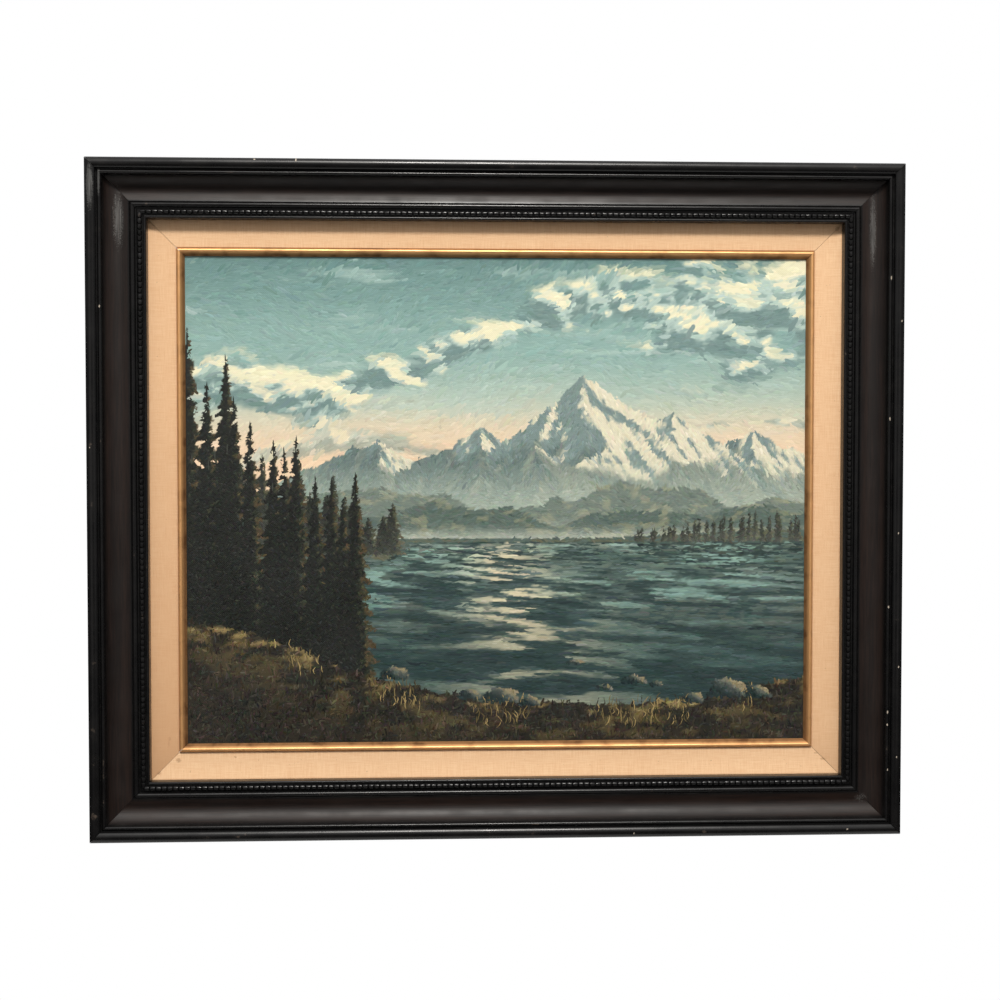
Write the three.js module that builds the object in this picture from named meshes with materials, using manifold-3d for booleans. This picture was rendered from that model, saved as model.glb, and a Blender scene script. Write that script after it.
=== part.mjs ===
// Framed oil painting: an ebonised cove-and-bead moulding, a linen-covered liner, a gilt sight fillet and a
// canvas on its stretcher, hung by two saw-tooth hangers.
//
// Millimetres, +Z up. The picture faces -Y and the flat back of the frame lies in the plane y = 0. The
// origin is the middle of the top rail's back, where the frame bears on the wall.
//
// Every section is a loop of points [inset, rise]: inset is measured inwards from the outer edge of the
// run that the section belongs to, and rise is measured from the wall towards the viewer.

import * as THREE from 'three';
import Module from 'manifold-3d';

const wasm = await Module();
wasm.setup();

// Driving dimensions -------------------------------------------------------------------------------------

const CANVAS_WIDTH = 711.2; // 28 in
const CANVAS_HEIGHT = 558.8; // 22 in
const SIGHT_WIDTH = 699; // painting that shows inside the gilt fillet
const SIGHT_HEIGHT = 546;
const CANVAS_FACE = 19.5; // rise of the painted face
const CLOTH = 0.7; // thickness of the primed canvas
const CANVAS_FOLD = 22; // width of the canvas folded onto the back

const RAIL_WIDTH = 63.5; // ebonised moulding, outer edge to sight edge
const RAIL_DEPTH = 59.5; // back to the top of the outer bead
const FACE_WIDTH = 102.8; // outer edge to the sight edge of the gilt fillet
const HANG_DROP = 28.5; // from the frame's top edge down to the origin

const GAP = 0.3; // clearance between touching pieces
const MITRE_INSET = GAP / Math.SQRT2; // shortening of each mitred end that leaves that clearance

const FRAME_WIDTH = SIGHT_WIDTH + 2 * FACE_WIDTH;
const FRAME_HEIGHT = SIGHT_HEIGHT + 2 * FACE_WIDTH;

// The moulding's rounds: each has its centre line's inset, its radius and the rise of its crown
const OUTER_BEAD = { centre: 6.1, radius: 7.3, crown: RAIL_DEPTH };
const RIDGE = { centre: 15.5, radius: 2.1, crown: 55.6 };
const ASTRAGAL = { centre: 48.4, radius: 3, crown: 40.9 };
const SIGHT_LIP = { centre: 61.85, radius: 1.65, crown: 40.1 };

// The hollows between them
const QUIRK = { from: 11.4, to: 12.6, rise: 52.4 };
const COVE_QUIRK = { inset: 45.4, rise: 38.7 };
const GROOVE = { from: 51.6, to: 52.6, rise: 37.1 };
const LIP_GROOVE = { from: 59.4, to: 60, rise: 38.3 };

// The cove: the rise where it ends, and the slope of its surface in degrees at insets across it
const COVE = {
  brim: 39.3,
  slopes: [[17.7, 66], [22, 43], [26, 32], [30, 20], [34, 6], [37, -4], [40, -8], [44.8, -9]],
};

// The beading and the rebate
const BED = { from: 53.6, to: 59.2, rise: 39.3 };
const BEAD_PITCH = 6.4; // a quarter inch
const BEAD_HEIGHT = 2.4;
const BEAD_CROWN = 0.27; // share of the pitch from a bead's end to its crown
const REBATE = { inset: 57, rise: 26.9 };

// Liner: its face falls inwards in a shallow scoop
const LINER = { outer: REBATE.inset + 0.4, back: 8, rim: 26.6, hollow: 24.5, brim: 23.5, sight: 94 };
const LINER_TONGUE = { inset: 90.7, rise: 21.9 };

// Gilt fillet
const FILLET_CROWN = { centre: 96.8, radius: 2.5, crown: 27 };
const FILLET_TOE = 20.6;

// Stretcher
const BAR_WIDTH = 42;
const BAR_BACK = 2.5;
const BAR_RIM = 3; // raised outer rim of the bar's face
const BAR_BEVEL = 3; // fall of the face behind the canvas

// Offset clips
const CLIP = { width: 13, sheet: 1, foot: 68, riser: 88, toe: 112, back: 0.2 };
const CLIP_ACROSS = 220; // clips on the top and bottom, either side of the middle
const CLIP_UP = 150; // clips on the sides, above and below the middle

// Saw-tooth hangers
const HANGER_OFFSET = 250;
const HANGER = { length: 60, height: 11, bar: 37.6, sheet: 1, back: 0.3 };
const TEETH = { count: 8, pitch: 4, depth: 2.2 };
const POCKET = { length: 66, height: 15, depth: 4 };

// Finishes -----------------------------------------------------------------------------------------------

const ebonised = new THREE.MeshStandardMaterial({ color: 0x262120, roughness: 0.35, metalness: 0 });
const linen = new THREE.MeshStandardMaterial({ color: 0xe8c297, roughness: 0.92, metalness: 0 });
const gilt = new THREE.MeshStandardMaterial({ color: 0xc8954f, roughness: 0.35, metalness: 0.85 });
const paint = new THREE.MeshStandardMaterial({ color: 0x7f9c93, roughness: 0.45, metalness: 0 });
const pine = new THREE.MeshStandardMaterial({ color: 0xcfae7c, roughness: 0.7, metalness: 0 });
const zinc = new THREE.MeshStandardMaterial({ color: 0xb9bab6, roughness: 0.4, metalness: 0.9 });
const brass = new THREE.MeshStandardMaterial({ color: 0xb5924c, roughness: 0.4, metalness: 0.9 });

// Section helpers ----------------------------------------------------------------------------------------

// Points over the crown of a round, between two insets.
function over({ centre, radius, crown }, from, to, steps) {
  const angle = (inset) => Math.acos(THREE.MathUtils.clamp((inset - centre) / radius, -1, 1));
  return Array.from({ length: steps + 1 }, (_, i) => {
    const turn = THREE.MathUtils.lerp(angle(from), angle(to), i / steps);
    return [centre + radius * Math.cos(turn), crown - radius + radius * Math.sin(turn)];
  });
}

// Points of a curve given by its slope at insets across it, worked back from the rise where it ends.
function sloped({ slopes, brim }) {
  const points = [[slopes.at(-1)[0], brim]];
  for (let i = slopes.length - 2; i >= 0; i--) {
    const [inset, slope] = slopes[i];
    const [next, nextSlope] = slopes[i + 1];
    const mean = THREE.MathUtils.degToRad((slope + nextSlope) / 2);
    points.unshift([inset, points[0][1] + (next - inset) * Math.tan(mean)]);
  }
  return points;
}

// A smooth curve through a few points, both ends included.
function smooth(points, steps) {
  const curve = new THREE.SplineCurve(points.map(([inset, rise]) => new THREE.Vector2(inset, rise)));
  return curve.getPoints(steps).map((point) => [point.x, point.y]);
}

// Solids from sections -----------------------------------------------------------------------------------

// Geometry from vertices and triangles, turned the right way out by the sign of its volume.
function closedGeometry(vertices, triangles) {
  let volume = 0;
  for (const [a, b, c] of triangles) {
    volume += vertices[a].dot(new THREE.Vector3().crossVectors(vertices[b], vertices[c]));
  }
  const outward = volume > 0 ? triangles : triangles.map(([a, b, c]) => [a, c, b]);
  const geometry = new THREE.BufferGeometry().setFromPoints(vertices);
  geometry.setIndex(outward.flat());
  return geometry;
}

// Triangles that fill an outline, wound the way the outline is.
function filled(outline) {
  const contour = outline.map(([x, y]) => new THREE.Vector2(x, y));
  const clockwise = THREE.ShapeUtils.isClockWise(contour);
  return THREE.ShapeUtils.triangulateShape(contour, [])
    .map(([a, b, c]) => {
      const wound = new THREE.Vector2().subVectors(contour[b], contour[a])
        .cross(new THREE.Vector2().subVectors(contour[c], contour[a])) < 0;
      return wound === clockwise ? [a, b, c] : [a, c, b];
    });
}

// A run lofted through lines. Each line is one corner of the section followed along the run: points
// [along, inset, rise] in order of along. Neighbouring lines need not have the same number of points.
function loft(lines, reach) {
  const vertices = [];
  const triangles = [];
  const rows = lines.map((line) => line.map(([along, inset, rise]) => {
    vertices.push(new THREE.Vector3(along, -rise, reach - inset));
    return vertices.length - 1;
  }));
  rows.forEach((row, i) => {
    const next = rows[(i + 1) % rows.length];
    let a = 0;
    let b = 0;
    while (a < row.length - 1 || b < next.length - 1) {
      const rowIsDone = a === row.length - 1;
      const nextIsDone = b === next.length - 1;
      const rowIsBehind = () => nextIsDone || vertices[row[a + 1]].x < vertices[next[b + 1]].x;
      if (!rowIsDone && rowIsBehind()) {
        triangles.push([row[a], next[b], row[a + 1]]);
        a++;
      } else {
        triangles.push([row[a], next[b], next[b + 1]]);
        b++;
      }
    }
  });
  for (const [a, b, c] of filled(lines.map(([[, inset, rise]]) => [inset, rise]))) {
    triangles.push([rows[a][0], rows[c][0], rows[b][0]]);
    triangles.push([rows[a].at(-1), rows[b].at(-1), rows[c].at(-1)]);
  }
  return closedGeometry(vertices, triangles);
}

// The two ends of one line of a mitred run whose outer edge is as long as length.
function mitredEnds(length, [inset, rise]) {
  const end = length / 2 - inset - MITRE_INSET;
  return [[-end, inset, rise], [end, inset, rise]];
}

// A straight mitred run of one section. reach is the distance of its outer edge from the centre.
function mitredRun(length, reach, section) {
  return loft(section.map((point) => mitredEnds(length, point)), reach);
}

// Cut tools from a solid.
function cut(geometry, ...tools) {
  const [body, ...cutters] = [geometry, ...tools].map(toManifold);
  return toGeometry(cutters.reduce((solid, cutter) => solid.subtract(cutter), body));
}

function toManifold(geometry) {
  return new wasm.Manifold(new wasm.Mesh({
    numProp: 3,
    vertProperties: new Float32Array(geometry.attributes.position.array),
    triVerts: new Uint32Array(geometry.index.array),
  }));
}

function toGeometry(solid) {
  const { vertProperties, triVerts } = solid.getMesh();
  const geometry = new THREE.BufferGeometry();
  geometry.setAttribute('position', new THREE.BufferAttribute(vertProperties, 3));
  geometry.setIndex(new THREE.BufferAttribute(triVerts, 1));
  return geometry;
}

// A box between two corners, with its corners shared.
function box(low, high) {
  const outline = [[low[0], low[2]], [high[0], low[2]], [high[0], high[2]], [low[0], high[2]]];
  return prism(outline, -high[1], -low[1]);
}

// A prism over an outline of points [x, z], between two rises.
function prism(outline, fromRise, toRise) {
  const corners = outline.length;
  const vertices = [fromRise, toRise]
    .flatMap((rise) => outline.map(([x, z]) => new THREE.Vector3(x, -rise, z)));
  const triangles = filled(outline)
    .flatMap(([a, b, c]) => [[a, b, c], [a + corners, c + corners, b + corners]]);
  for (let i = 0; i < corners; i++) {
    const j = (i + 1) % corners;
    triangles.push([j, i, i + corners], [j, i + corners, j + corners]);
  }
  return closedGeometry(vertices, triangles);
}

// The ebonised moulding ----------------------------------------------------------------------------------

const beforeBeading = [
  [0, 0],
  ...over(OUTER_BEAD, 0, QUIRK.from - 0.1, 9),
  [QUIRK.from, QUIRK.rise],
  [QUIRK.to, QUIRK.rise],
  ...over(RIDGE, RIDGE.centre - RIDGE.radius, RIDGE.centre + RIDGE.radius, 5),
  ...sloped(COVE),
  [COVE_QUIRK.inset, COVE_QUIRK.rise],
  ...over(ASTRAGAL, ASTRAGAL.centre - 0.9 * ASTRAGAL.radius, ASTRAGAL.centre + ASTRAGAL.radius, 6),
  [GROOVE.from, GROOVE.rise],
  [GROOVE.to, GROOVE.rise],
];

const afterBeading = [
  [LIP_GROOVE.to, LIP_GROOVE.rise],
  ...over(SIGHT_LIP, SIGHT_LIP.centre - 1.6, RAIL_WIDTH, 5),
  [RAIL_WIDTH, REBATE.rise],
  [REBATE.inset, REBATE.rise],
  [REBATE.inset, 0],
];

// Lines of the beading: the two edges of its bed with a point between every two beads, and the crown line
// that rises and falls with each bead. The lines beside the bed have a point every few beads.
function beadingLines(length) {
  const room = length / 2 - BED.to - MITRE_INSET;
  const count = Math.floor((2 * room) / BEAD_PITCH);
  const starts = Array.from({ length: count + 1 }, (_, i) => (i - count / 2) * BEAD_PITCH);
  const follow = (inset, rise, stations) => {
    const [first, last] = mitredEnds(length, [inset, rise]);
    return [first, ...stations.map((along) => [along, inset, rise]), last];
  };
  const sparse = starts.filter((_, i) => i % 6 === 3);
  const middle = (BED.from + BED.to) / 2;
  const valley = BED.rise + 0.3;
  const crown = follow(middle, valley, []);
  const beads = starts.flatMap((start, i) => {
    const rings = [[start, middle, valley]];
    if (i < count) {
      for (const share of [BEAD_CROWN, 1 - BEAD_CROWN]) {
        rings.push([start + share * BEAD_PITCH, middle, BED.rise + BEAD_HEIGHT]);
      }
    }
    return rings;
  });
  crown.splice(1, 0, ...beads);
  return [
    follow(BED.from - 0.4, BED.rise - 0.3, sparse),
    follow(BED.from, BED.rise, starts),
    crown,
    follow(BED.to, BED.rise, starts),
    follow(LIP_GROOVE.from, LIP_GROOVE.rise, sparse),
  ];
}

function railGeometry(length, reach) {
  const plain = (section) => section.map((point) => mitredEnds(length, point));
  return loft([...plain(beforeBeading), ...beadingLines(length), ...plain(afterBeading)], reach);
}

// The liner, the gilt fillet and the stretcher -----------------------------------------------------------

const linerSection = [
  [LINER.outer, LINER.back],
  [LINER.outer, LINER.rim],
  ...smooth([[RAIL_WIDTH, LINER.rim], [80, LINER.hollow], [LINER.sight - 2.2, LINER.brim]], 8),
  [LINER.sight - 0.8, LINER.brim - 0.3],
  [LINER.sight - 0.1, LINER.brim - 1.4],
  [LINER.sight, LINER_TONGUE.rise],
  [LINER_TONGUE.inset, LINER_TONGUE.rise],
  [LINER_TONGUE.inset, LINER.back],
];

const filletGroove = FILLET_CROWN.centre - FILLET_CROWN.radius;
const filletSection = [
  [LINER_TONGUE.inset + GAP, CANVAS_FACE + GAP],
  [LINER_TONGUE.inset + GAP, LINER_TONGUE.rise - GAP],
  [filletGroove, LINER_TONGUE.rise - GAP],
  ...over(FILLET_CROWN, filletGroove, FILLET_CROWN.centre + 2.1, 6),
  [100.4, 24.2],
  [101.8, 22.1],
  [FACE_WIDTH, FILLET_TOE],
  [FACE_WIDTH, CANVAS_FACE + GAP],
];

const barFace = CANVAS_FACE - CLOTH - GAP;
const barSection = [
  [0, BAR_BACK],
  [0, barFace],
  [BAR_RIM, barFace],
  [BAR_RIM + 1, barFace - 1],
  [BAR_WIDTH, barFace - BAR_BEVEL],
  [BAR_WIDTH, BAR_BACK],
];

function canvasGeometry() {
  const [x, z] = [CANVAS_WIDTH / 2, CANVAS_HEIGHT / 2];
  const back = BAR_BACK - GAP - CLOTH;
  const outside = box([-x, -CANVAS_FACE, -z], [x, -back, z]);
  const inside = box([CLOTH - x, CLOTH - CANVAS_FACE, CLOTH - z], [x - CLOTH, -back - CLOTH, z - CLOTH]);
  const window = box(
    [CANVAS_FOLD - x, -back - 2 * CLOTH, CANVAS_FOLD - z],
    [x - CANVAS_FOLD, 1 - back, z - CANVAS_FOLD],
  );
  return cut(outside, inside, window);
}

// Fixings on the back ------------------------------------------------------------------------------------

// A bent strip with its foot on the liner's back and its toe over the stretcher.
function clipGeometry(reach) {
  const foot = LINER.back - GAP;
  const section = [
    [CLIP.foot, foot - CLIP.sheet],
    [CLIP.foot, foot],
    [CLIP.riser + CLIP.sheet, foot],
    [CLIP.riser + CLIP.sheet, CLIP.back + CLIP.sheet],
    [CLIP.toe, CLIP.back + CLIP.sheet],
    [CLIP.toe, CLIP.back],
    [CLIP.riser, CLIP.back],
    [CLIP.riser, foot - CLIP.sheet],
  ];
  const half = CLIP.width / 2;
  return loft(section.map(([inset, rise]) => [[-half, inset, rise], [half, inset, rise]]), reach);
}

// A strip that stands off its two nailed feet, with teeth along its lower edge, centred on its pocket.
function hangerGeometry() {
  const end = HANGER.length / 2;
  const bend = HANGER.bar / 2;
  const floor = POCKET.depth - GAP;
  const strip = [
    [-end, floor], [-bend - 1.2, floor], [-bend + 0.8, HANGER.back + HANGER.sheet],
    [bend - 0.8, HANGER.back + HANGER.sheet], [bend + 1.2, floor], [end, floor],
    [end, floor - HANGER.sheet], [bend + 2, floor - HANGER.sheet], [bend, HANGER.back],
    [-bend, HANGER.back], [-bend - 2, floor - HANGER.sheet], [-end, floor - HANGER.sheet],
  ];
  const half = HANGER.height / 2;
  const lines = strip.map(([x, rise]) => [[-half, x, rise], [half, x, rise]]);
  const body = loft(lines, 0).rotateY(Math.PI / 2);
  const notches = Array.from({ length: TEETH.count }, (_, i) => {
    const x = (i - (TEETH.count - 1) / 2) * TEETH.pitch;
    const flank = TEETH.pitch * 0.45;
    const outline = [[x - flank, -half - 1], [x + flank, -half - 1], [x, TEETH.depth - half]];
    return prism(outline, -1, HANGER.back + HANGER.sheet + 1);
  });
  return cut(body, ...notches);
}

// Assembly -----------------------------------------------------------------------------------------------

const painting = new THREE.Group();
const face = new THREE.Group();
face.position.z = HANG_DROP - FRAME_HEIGHT / 2;
painting.add(face);

const sides = [
  { name: 'top', turn: 0, across: true },
  { name: 'right', turn: 90, across: false },
  { name: 'bottom', turn: 180, across: true },
  { name: 'left', turn: -90, across: false },
];

function place(parent, name, geometry, material, turn = 0) {
  const mesh = new THREE.Mesh(geometry, material);
  mesh.name = name;
  mesh.rotation.y = THREE.MathUtils.degToRad(turn);
  parent.add(mesh);
  return mesh;
}

// Length and reach of a side of a rectangle.
function run(side, width, height) {
  return side.across ? [width, height / 2] : [height, width / 2];
}

const hangerCentre = FRAME_HEIGHT / 2 - HANG_DROP;
const pockets = [-1, 1].map((hand) => box(
  [hand * HANGER_OFFSET - POCKET.length / 2, -POCKET.depth, hangerCentre - POCKET.height / 2],
  [hand * HANGER_OFFSET + POCKET.length / 2, 1, hangerCentre + POCKET.height / 2],
));

let clipNumber = 1;
for (const side of sides) {
  const frameRun = run(side, FRAME_WIDTH, FRAME_HEIGHT);
  const barRun = run(side, CANVAS_WIDTH - 2 * (CLOTH + GAP), CANVAS_HEIGHT - 2 * (CLOTH + GAP));
  const rail = railGeometry(...frameRun);
  place(face, `${side.name}_rail`, side.name === 'top' ? cut(rail, ...pockets) : rail, ebonised, side.turn);
  place(face, `liner_${side.name}`, mitredRun(...frameRun, linerSection), linen, side.turn);
  place(face, `fillet_${side.name}`, mitredRun(...frameRun, filletSection), gilt, side.turn);
  place(face, `stretcher_${side.name}`, mitredRun(...barRun, barSection), pine, side.turn);
  for (const hand of [-1, 1]) {
    const offset = hand * (side.across ? CLIP_ACROSS : CLIP_UP);
    const clip = clipGeometry(frameRun[1]).translate(offset, 0, 0);
    place(face, `offset_clip_${clipNumber}`, clip, zinc, side.turn);
    clipNumber++;
  }
}

place(face, 'canvas', canvasGeometry(), paint);

for (const [name, hand] of [['hanger_left', -1], ['hanger_right', 1]]) {
  place(painting, name, hangerGeometry(), brass).position.x = hand * HANGER_OFFSET;
}

export default painting;
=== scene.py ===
"""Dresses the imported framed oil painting: moulding, linen liner, gilt fillet, canvas, back and fixings.

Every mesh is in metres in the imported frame: +X to the viewer's right, +Z up, the picture facing -Y and the
wall at y = 0. The maker's sizes below are in millimetres and are turned to metres where a mesh is made. A
section is a list of corners at an inset, measured inwards from the outer edge of its run, and a rise,
measured from the wall towards the viewer.
"""

import logging
import math
from dataclasses import dataclass, field
from enum import Enum
from typing import Callable, Sequence

import bmesh
import bpy
import numpy as np
from mathutils import Matrix, Vector


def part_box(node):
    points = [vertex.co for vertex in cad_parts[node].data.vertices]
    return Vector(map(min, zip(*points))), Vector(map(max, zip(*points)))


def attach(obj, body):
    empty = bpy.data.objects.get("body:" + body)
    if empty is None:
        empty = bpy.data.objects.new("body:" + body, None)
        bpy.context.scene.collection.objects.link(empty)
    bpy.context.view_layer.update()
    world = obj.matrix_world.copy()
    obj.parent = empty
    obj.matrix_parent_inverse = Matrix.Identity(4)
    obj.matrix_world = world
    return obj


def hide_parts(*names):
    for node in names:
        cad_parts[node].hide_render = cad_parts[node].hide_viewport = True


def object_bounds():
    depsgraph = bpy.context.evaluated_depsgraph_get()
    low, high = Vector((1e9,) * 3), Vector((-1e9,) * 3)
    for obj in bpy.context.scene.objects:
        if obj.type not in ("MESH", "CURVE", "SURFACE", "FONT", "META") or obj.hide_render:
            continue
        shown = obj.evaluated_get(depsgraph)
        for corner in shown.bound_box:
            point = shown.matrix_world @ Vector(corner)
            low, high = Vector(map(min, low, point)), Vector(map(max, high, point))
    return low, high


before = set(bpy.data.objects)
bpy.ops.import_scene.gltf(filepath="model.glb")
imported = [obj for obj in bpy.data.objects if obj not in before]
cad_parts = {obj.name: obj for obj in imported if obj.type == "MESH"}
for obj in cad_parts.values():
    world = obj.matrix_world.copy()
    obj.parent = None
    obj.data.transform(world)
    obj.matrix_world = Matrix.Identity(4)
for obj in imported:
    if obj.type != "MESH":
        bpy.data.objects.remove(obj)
CAD_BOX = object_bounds()

MM = 0.001
HANGERS = ("hanger_left", "hanger_right")
log = logging.getLogger("framed_painting")

Array, Pair, Triple = np.ndarray, tuple[float, float], tuple[float, float, float]
Colour = Triple
Material, Mesh, Object = bpy.types.Material, bpy.types.Mesh, bpy.types.Object
Node, NodeTree = bpy.types.Node, bpy.types.NodeTree
Value = bpy.types.NodeSocket | float | Sequence[float]


# Sides and places --------


class Side(Enum):
    """A side of the frame, with its turn about the Y axis in degrees."""

    TOP = 0
    RIGHT = 90
    BOTTOM = 180
    LEFT = -90

    @property
    def label(self) -> str:
        """The side's name as the nodes spell it."""
        return self.name.lower()

    @property
    def across(self) -> bool:
        """Whether the side runs left to right."""
        return self in (Side.TOP, Side.BOTTOM)


@dataclass(frozen=True)
class Layout:
    """Where the frame stands, in metres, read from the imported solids.

    Attributes:
        width: Outer width of the frame.
        height: Outer height of the frame.
        centre: Middle of the frame in the plane of the wall.
        canvas_face: How far the painted face stands from the wall.
    """

    width: float
    height: float
    centre: Vector
    canvas_face: float

    @classmethod
    def from_solids(cls) -> "Layout":
        """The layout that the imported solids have."""
        low, high = CAD_BOX
        return cls(
            width=high[0] - low[0],
            height=high[2] - low[2],
            centre=Vector(((low[0] + high[0]) / 2, 0.0, (low[2] + high[2]) / 2)),
            canvas_face=-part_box("canvas")[0][1],
        )

    def run(self, side: Side) -> Pair:
        """Length of a side and the distance of its outer edge from the centre.

        Args:
            side: The side asked for.

        Returns:
            Length and reach in metres.
        """
        if side.across:
            return self.width, self.height / 2
        return self.height, self.width / 2

    def placed(self, side: Side) -> Matrix:
        """The turn and shift that bring a run from its own axes to its side.

        Args:
            side: The side asked for.

        Returns:
            The matrix to apply to the run's mesh.
        """
        return Matrix.Translation(self.centre) @ Matrix.Rotation(math.radians(side.value), 4, "Y")


# Node trees --------


class Graph:
    """A node tree with short ways to add, fill and join its nodes."""

    def __init__(self, tree: NodeTree) -> None:
        """Keeps the tree that is built in."""
        self.tree = tree

    def feed(self, socket: bpy.types.NodeSocket, value: Value) -> None:
        """Links a socket to another, or sets its value.

        Args:
            socket: The input to fill.
            value: A socket, a number, or the parts of a vector or colour.
        """
        if isinstance(value, bpy.types.NodeSocket):
            self.tree.links.new(value, socket)
        elif socket.type == "RGBA":
            socket.default_value = (*value[:3], 1.0)
        else:
            socket.default_value = value

    def fill(self, node: Node, **inputs: Value) -> Node:
        """Fills a node's inputs.

        Args:
            node: The node.
            **inputs: Values by input name, with underscores for spaces.

        Returns:
            The node.
        """
        for name, value in inputs.items():
            self.feed(node.inputs[name.replace("_", " ")], value)
        return node

    def add(self, kind: str, settings: dict[str, object] | None = None, **inputs: Value) -> Node:
        """Adds a node.

        Args:
            kind: The node's Blender type.
            settings: Properties to set before its inputs are filled.
            **inputs: Values by input name, with underscores for spaces.

        Returns:
            The new node.
        """
        node = self.tree.nodes.new(kind)
        for name, value in (settings or {}).items():
            setattr(node, name, value)
        return self.fill(node, **inputs)

    def out(self, kind: str, settings: dict[str, object] | None = None, **inputs: Value) -> Value:
        """The first output of a node that is added in the same way."""
        return self.add(kind, settings, **inputs).outputs[0]

    def indexed(self, kind: str, settings: dict[str, object], values: dict[int, Value]) -> Node:
        """Adds a node whose inputs are told apart by number.

        Args:
            kind: The node's Blender type.
            settings: Properties to set before its inputs are filled.
            values: Values by input number.

        Returns:
            The new node.
        """
        node = self.add(kind, settings)
        for number, value in values.items():
            self.feed(node.inputs[number], value)
        return node

    def maths(self, operation: str, *values: Value) -> Value:
        """The result of a Math node's operation on up to three values."""
        return self.indexed("ShaderNodeMath", {"operation": operation}, dict(enumerate(values))).outputs[0]

    def times(self, a: Value, b: Value) -> Value:
        """The product of two values."""
        return self.maths("MULTIPLY", a, b)

    def plus(self, a: Value, b: Value) -> Value:
        """The sum of two values."""
        return self.maths("ADD", a, b)

    def minus(self, a: Value, b: Value) -> Value:
        """The first value less the second."""
        return self.maths("SUBTRACT", a, b)

    def vector(self, operation: str, *values: Value) -> Value:
        """The result of a Vector Math node's operation, which is a vector."""
        settings = {"operation": operation}
        return self.indexed("ShaderNodeVectorMath", settings, dict(enumerate(values))).outputs[0]

    def length(self, vector: Value) -> Value:
        """The length of a vector."""
        return self.indexed("ShaderNodeVectorMath", {"operation": "LENGTH"}, {0: vector}).outputs[1]

    def xyz(self, x: Value = 0.0, y: Value = 0.0, z: Value = 0.0) -> Value:
        """The vector of three values."""
        return self.out("ShaderNodeCombineXYZ", X=x, Y=y, Z=z)

    def parts(self, vector: Value) -> Sequence[Value]:
        """The three values of a vector."""
        return self.add("ShaderNodeSeparateXYZ", Vector=vector).outputs

    def mixed(self, factor: Value, a: Value, b: Value, blend: str = "MIX") -> Value:
        """Mixes two colours.

        Args:
            factor: Share of the second colour.
            a: First colour.
            b: Second colour.
            blend: The blend's Blender name.

        Returns:
            The output socket.
        """
        settings = {"data_type": "RGBA", "blend_type": blend}
        return self.indexed("ShaderNodeMix", settings, {0: factor, 6: a, 7: b}).outputs[2]

    def band(self, value: Value, low: float, high: float, to_low: float = 0.0, to_high: float = 1.0) -> Value:
        """Maps a range of values smoothly onto another.

        Args:
            value: The value to map.
            low: Start of the range.
            high: End of the range.
            to_low: Result at the start.
            to_high: Result at the end.

        Returns:
            The output socket.
        """
        ends = {"From_Min": low, "From_Max": high, "To_Min": to_low, "To_Max": to_high}
        return self.out("ShaderNodeMapRange", {"interpolation_type": "SMOOTHSTEP"}, Value=value, **ends)

    def noise(self, vector: Value, scale: Value, detail: float = 2.0, roughness: float = 0.5) -> Value:
        """Adds a noise texture.

        Args:
            vector: Where it is read.
            scale: Its scale.
            detail: Octaves beyond the first.
            roughness: Share kept by each octave.

        Returns:
            Its value.
        """
        return self.out("ShaderNodeTexNoise", Vector=vector, Scale=scale, Detail=detail, Roughness=roughness)

    def attribute(self, name: str, output: str = "Fac") -> Value:
        """A mesh attribute's value, or its colour where the output is Color."""
        settings = {"attribute_type": "GEOMETRY", "attribute_name": name}
        return self.add("ShaderNodeAttribute", settings).outputs[output]

    def here(self) -> Value:
        """The Object coordinates."""
        return self.add("ShaderNodeTexCoord").outputs["Object"]

    def uv(self, name: str) -> Value:
        """Reads one of the piece's own UV maps."""
        return self.out("ShaderNodeUVMap", {"uv_map": name})

    def bump(self, height: Value, strength: float, distance: float) -> Value:
        """Turns a height into a normal.

        Args:
            height: The height, where 1 stands for distance.
            strength: The bump's strength.
            distance: The height in metres.

        Returns:
            The normal.
        """
        return self.out("ShaderNodeBump", Strength=strength, Distance=distance, Height=height)


def node_group(kind: str, name: str, inputs: dict[str, str], outputs: dict[str, str]) -> Graph:
    """Starts a node group.

    Args:
        kind: "Shader" or "Geometry".
        name: The group's name.
        inputs: For each input, its kind as the socket's type spells it.
        outputs: For each output, its kind.

    Returns:
        The group's graph.
    """
    tree = bpy.data.node_groups.new(name, f"{kind}NodeTree")
    for way, sockets in (("INPUT", inputs), ("OUTPUT", outputs)):
        for label, socket in sockets.items():
            tree.interface.new_socket(name=label, in_out=way, socket_type=f"NodeSocket{socket}")
    return Graph(tree)


def shader_group(name: str, inputs: dict[str, Value], *outputs: str) -> tuple[Graph, dict[str, Value], Node]:
    """Starts a shader node group.

    Args:
        name: The group's name.
        inputs: For each input its default, a number or the parts of a vector.
        *outputs: Names of its outputs, each a number.

    Returns:
        The group's graph, its input values by name, and its output node.
    """
    kinds = {label: "Vector" if isinstance(value, tuple) else "Float" for label, value in inputs.items()}
    graph = node_group("Shader", name, kinds, dict.fromkeys(outputs, "Float"))
    for item in graph.tree.interface.items_tree:
        if item.in_out == "INPUT":
            item.default_value = inputs[item.name]
    values = graph.add("NodeGroupInput").outputs
    return graph, {label: values[label] for label in inputs}, graph.add("NodeGroupOutput")


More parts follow.
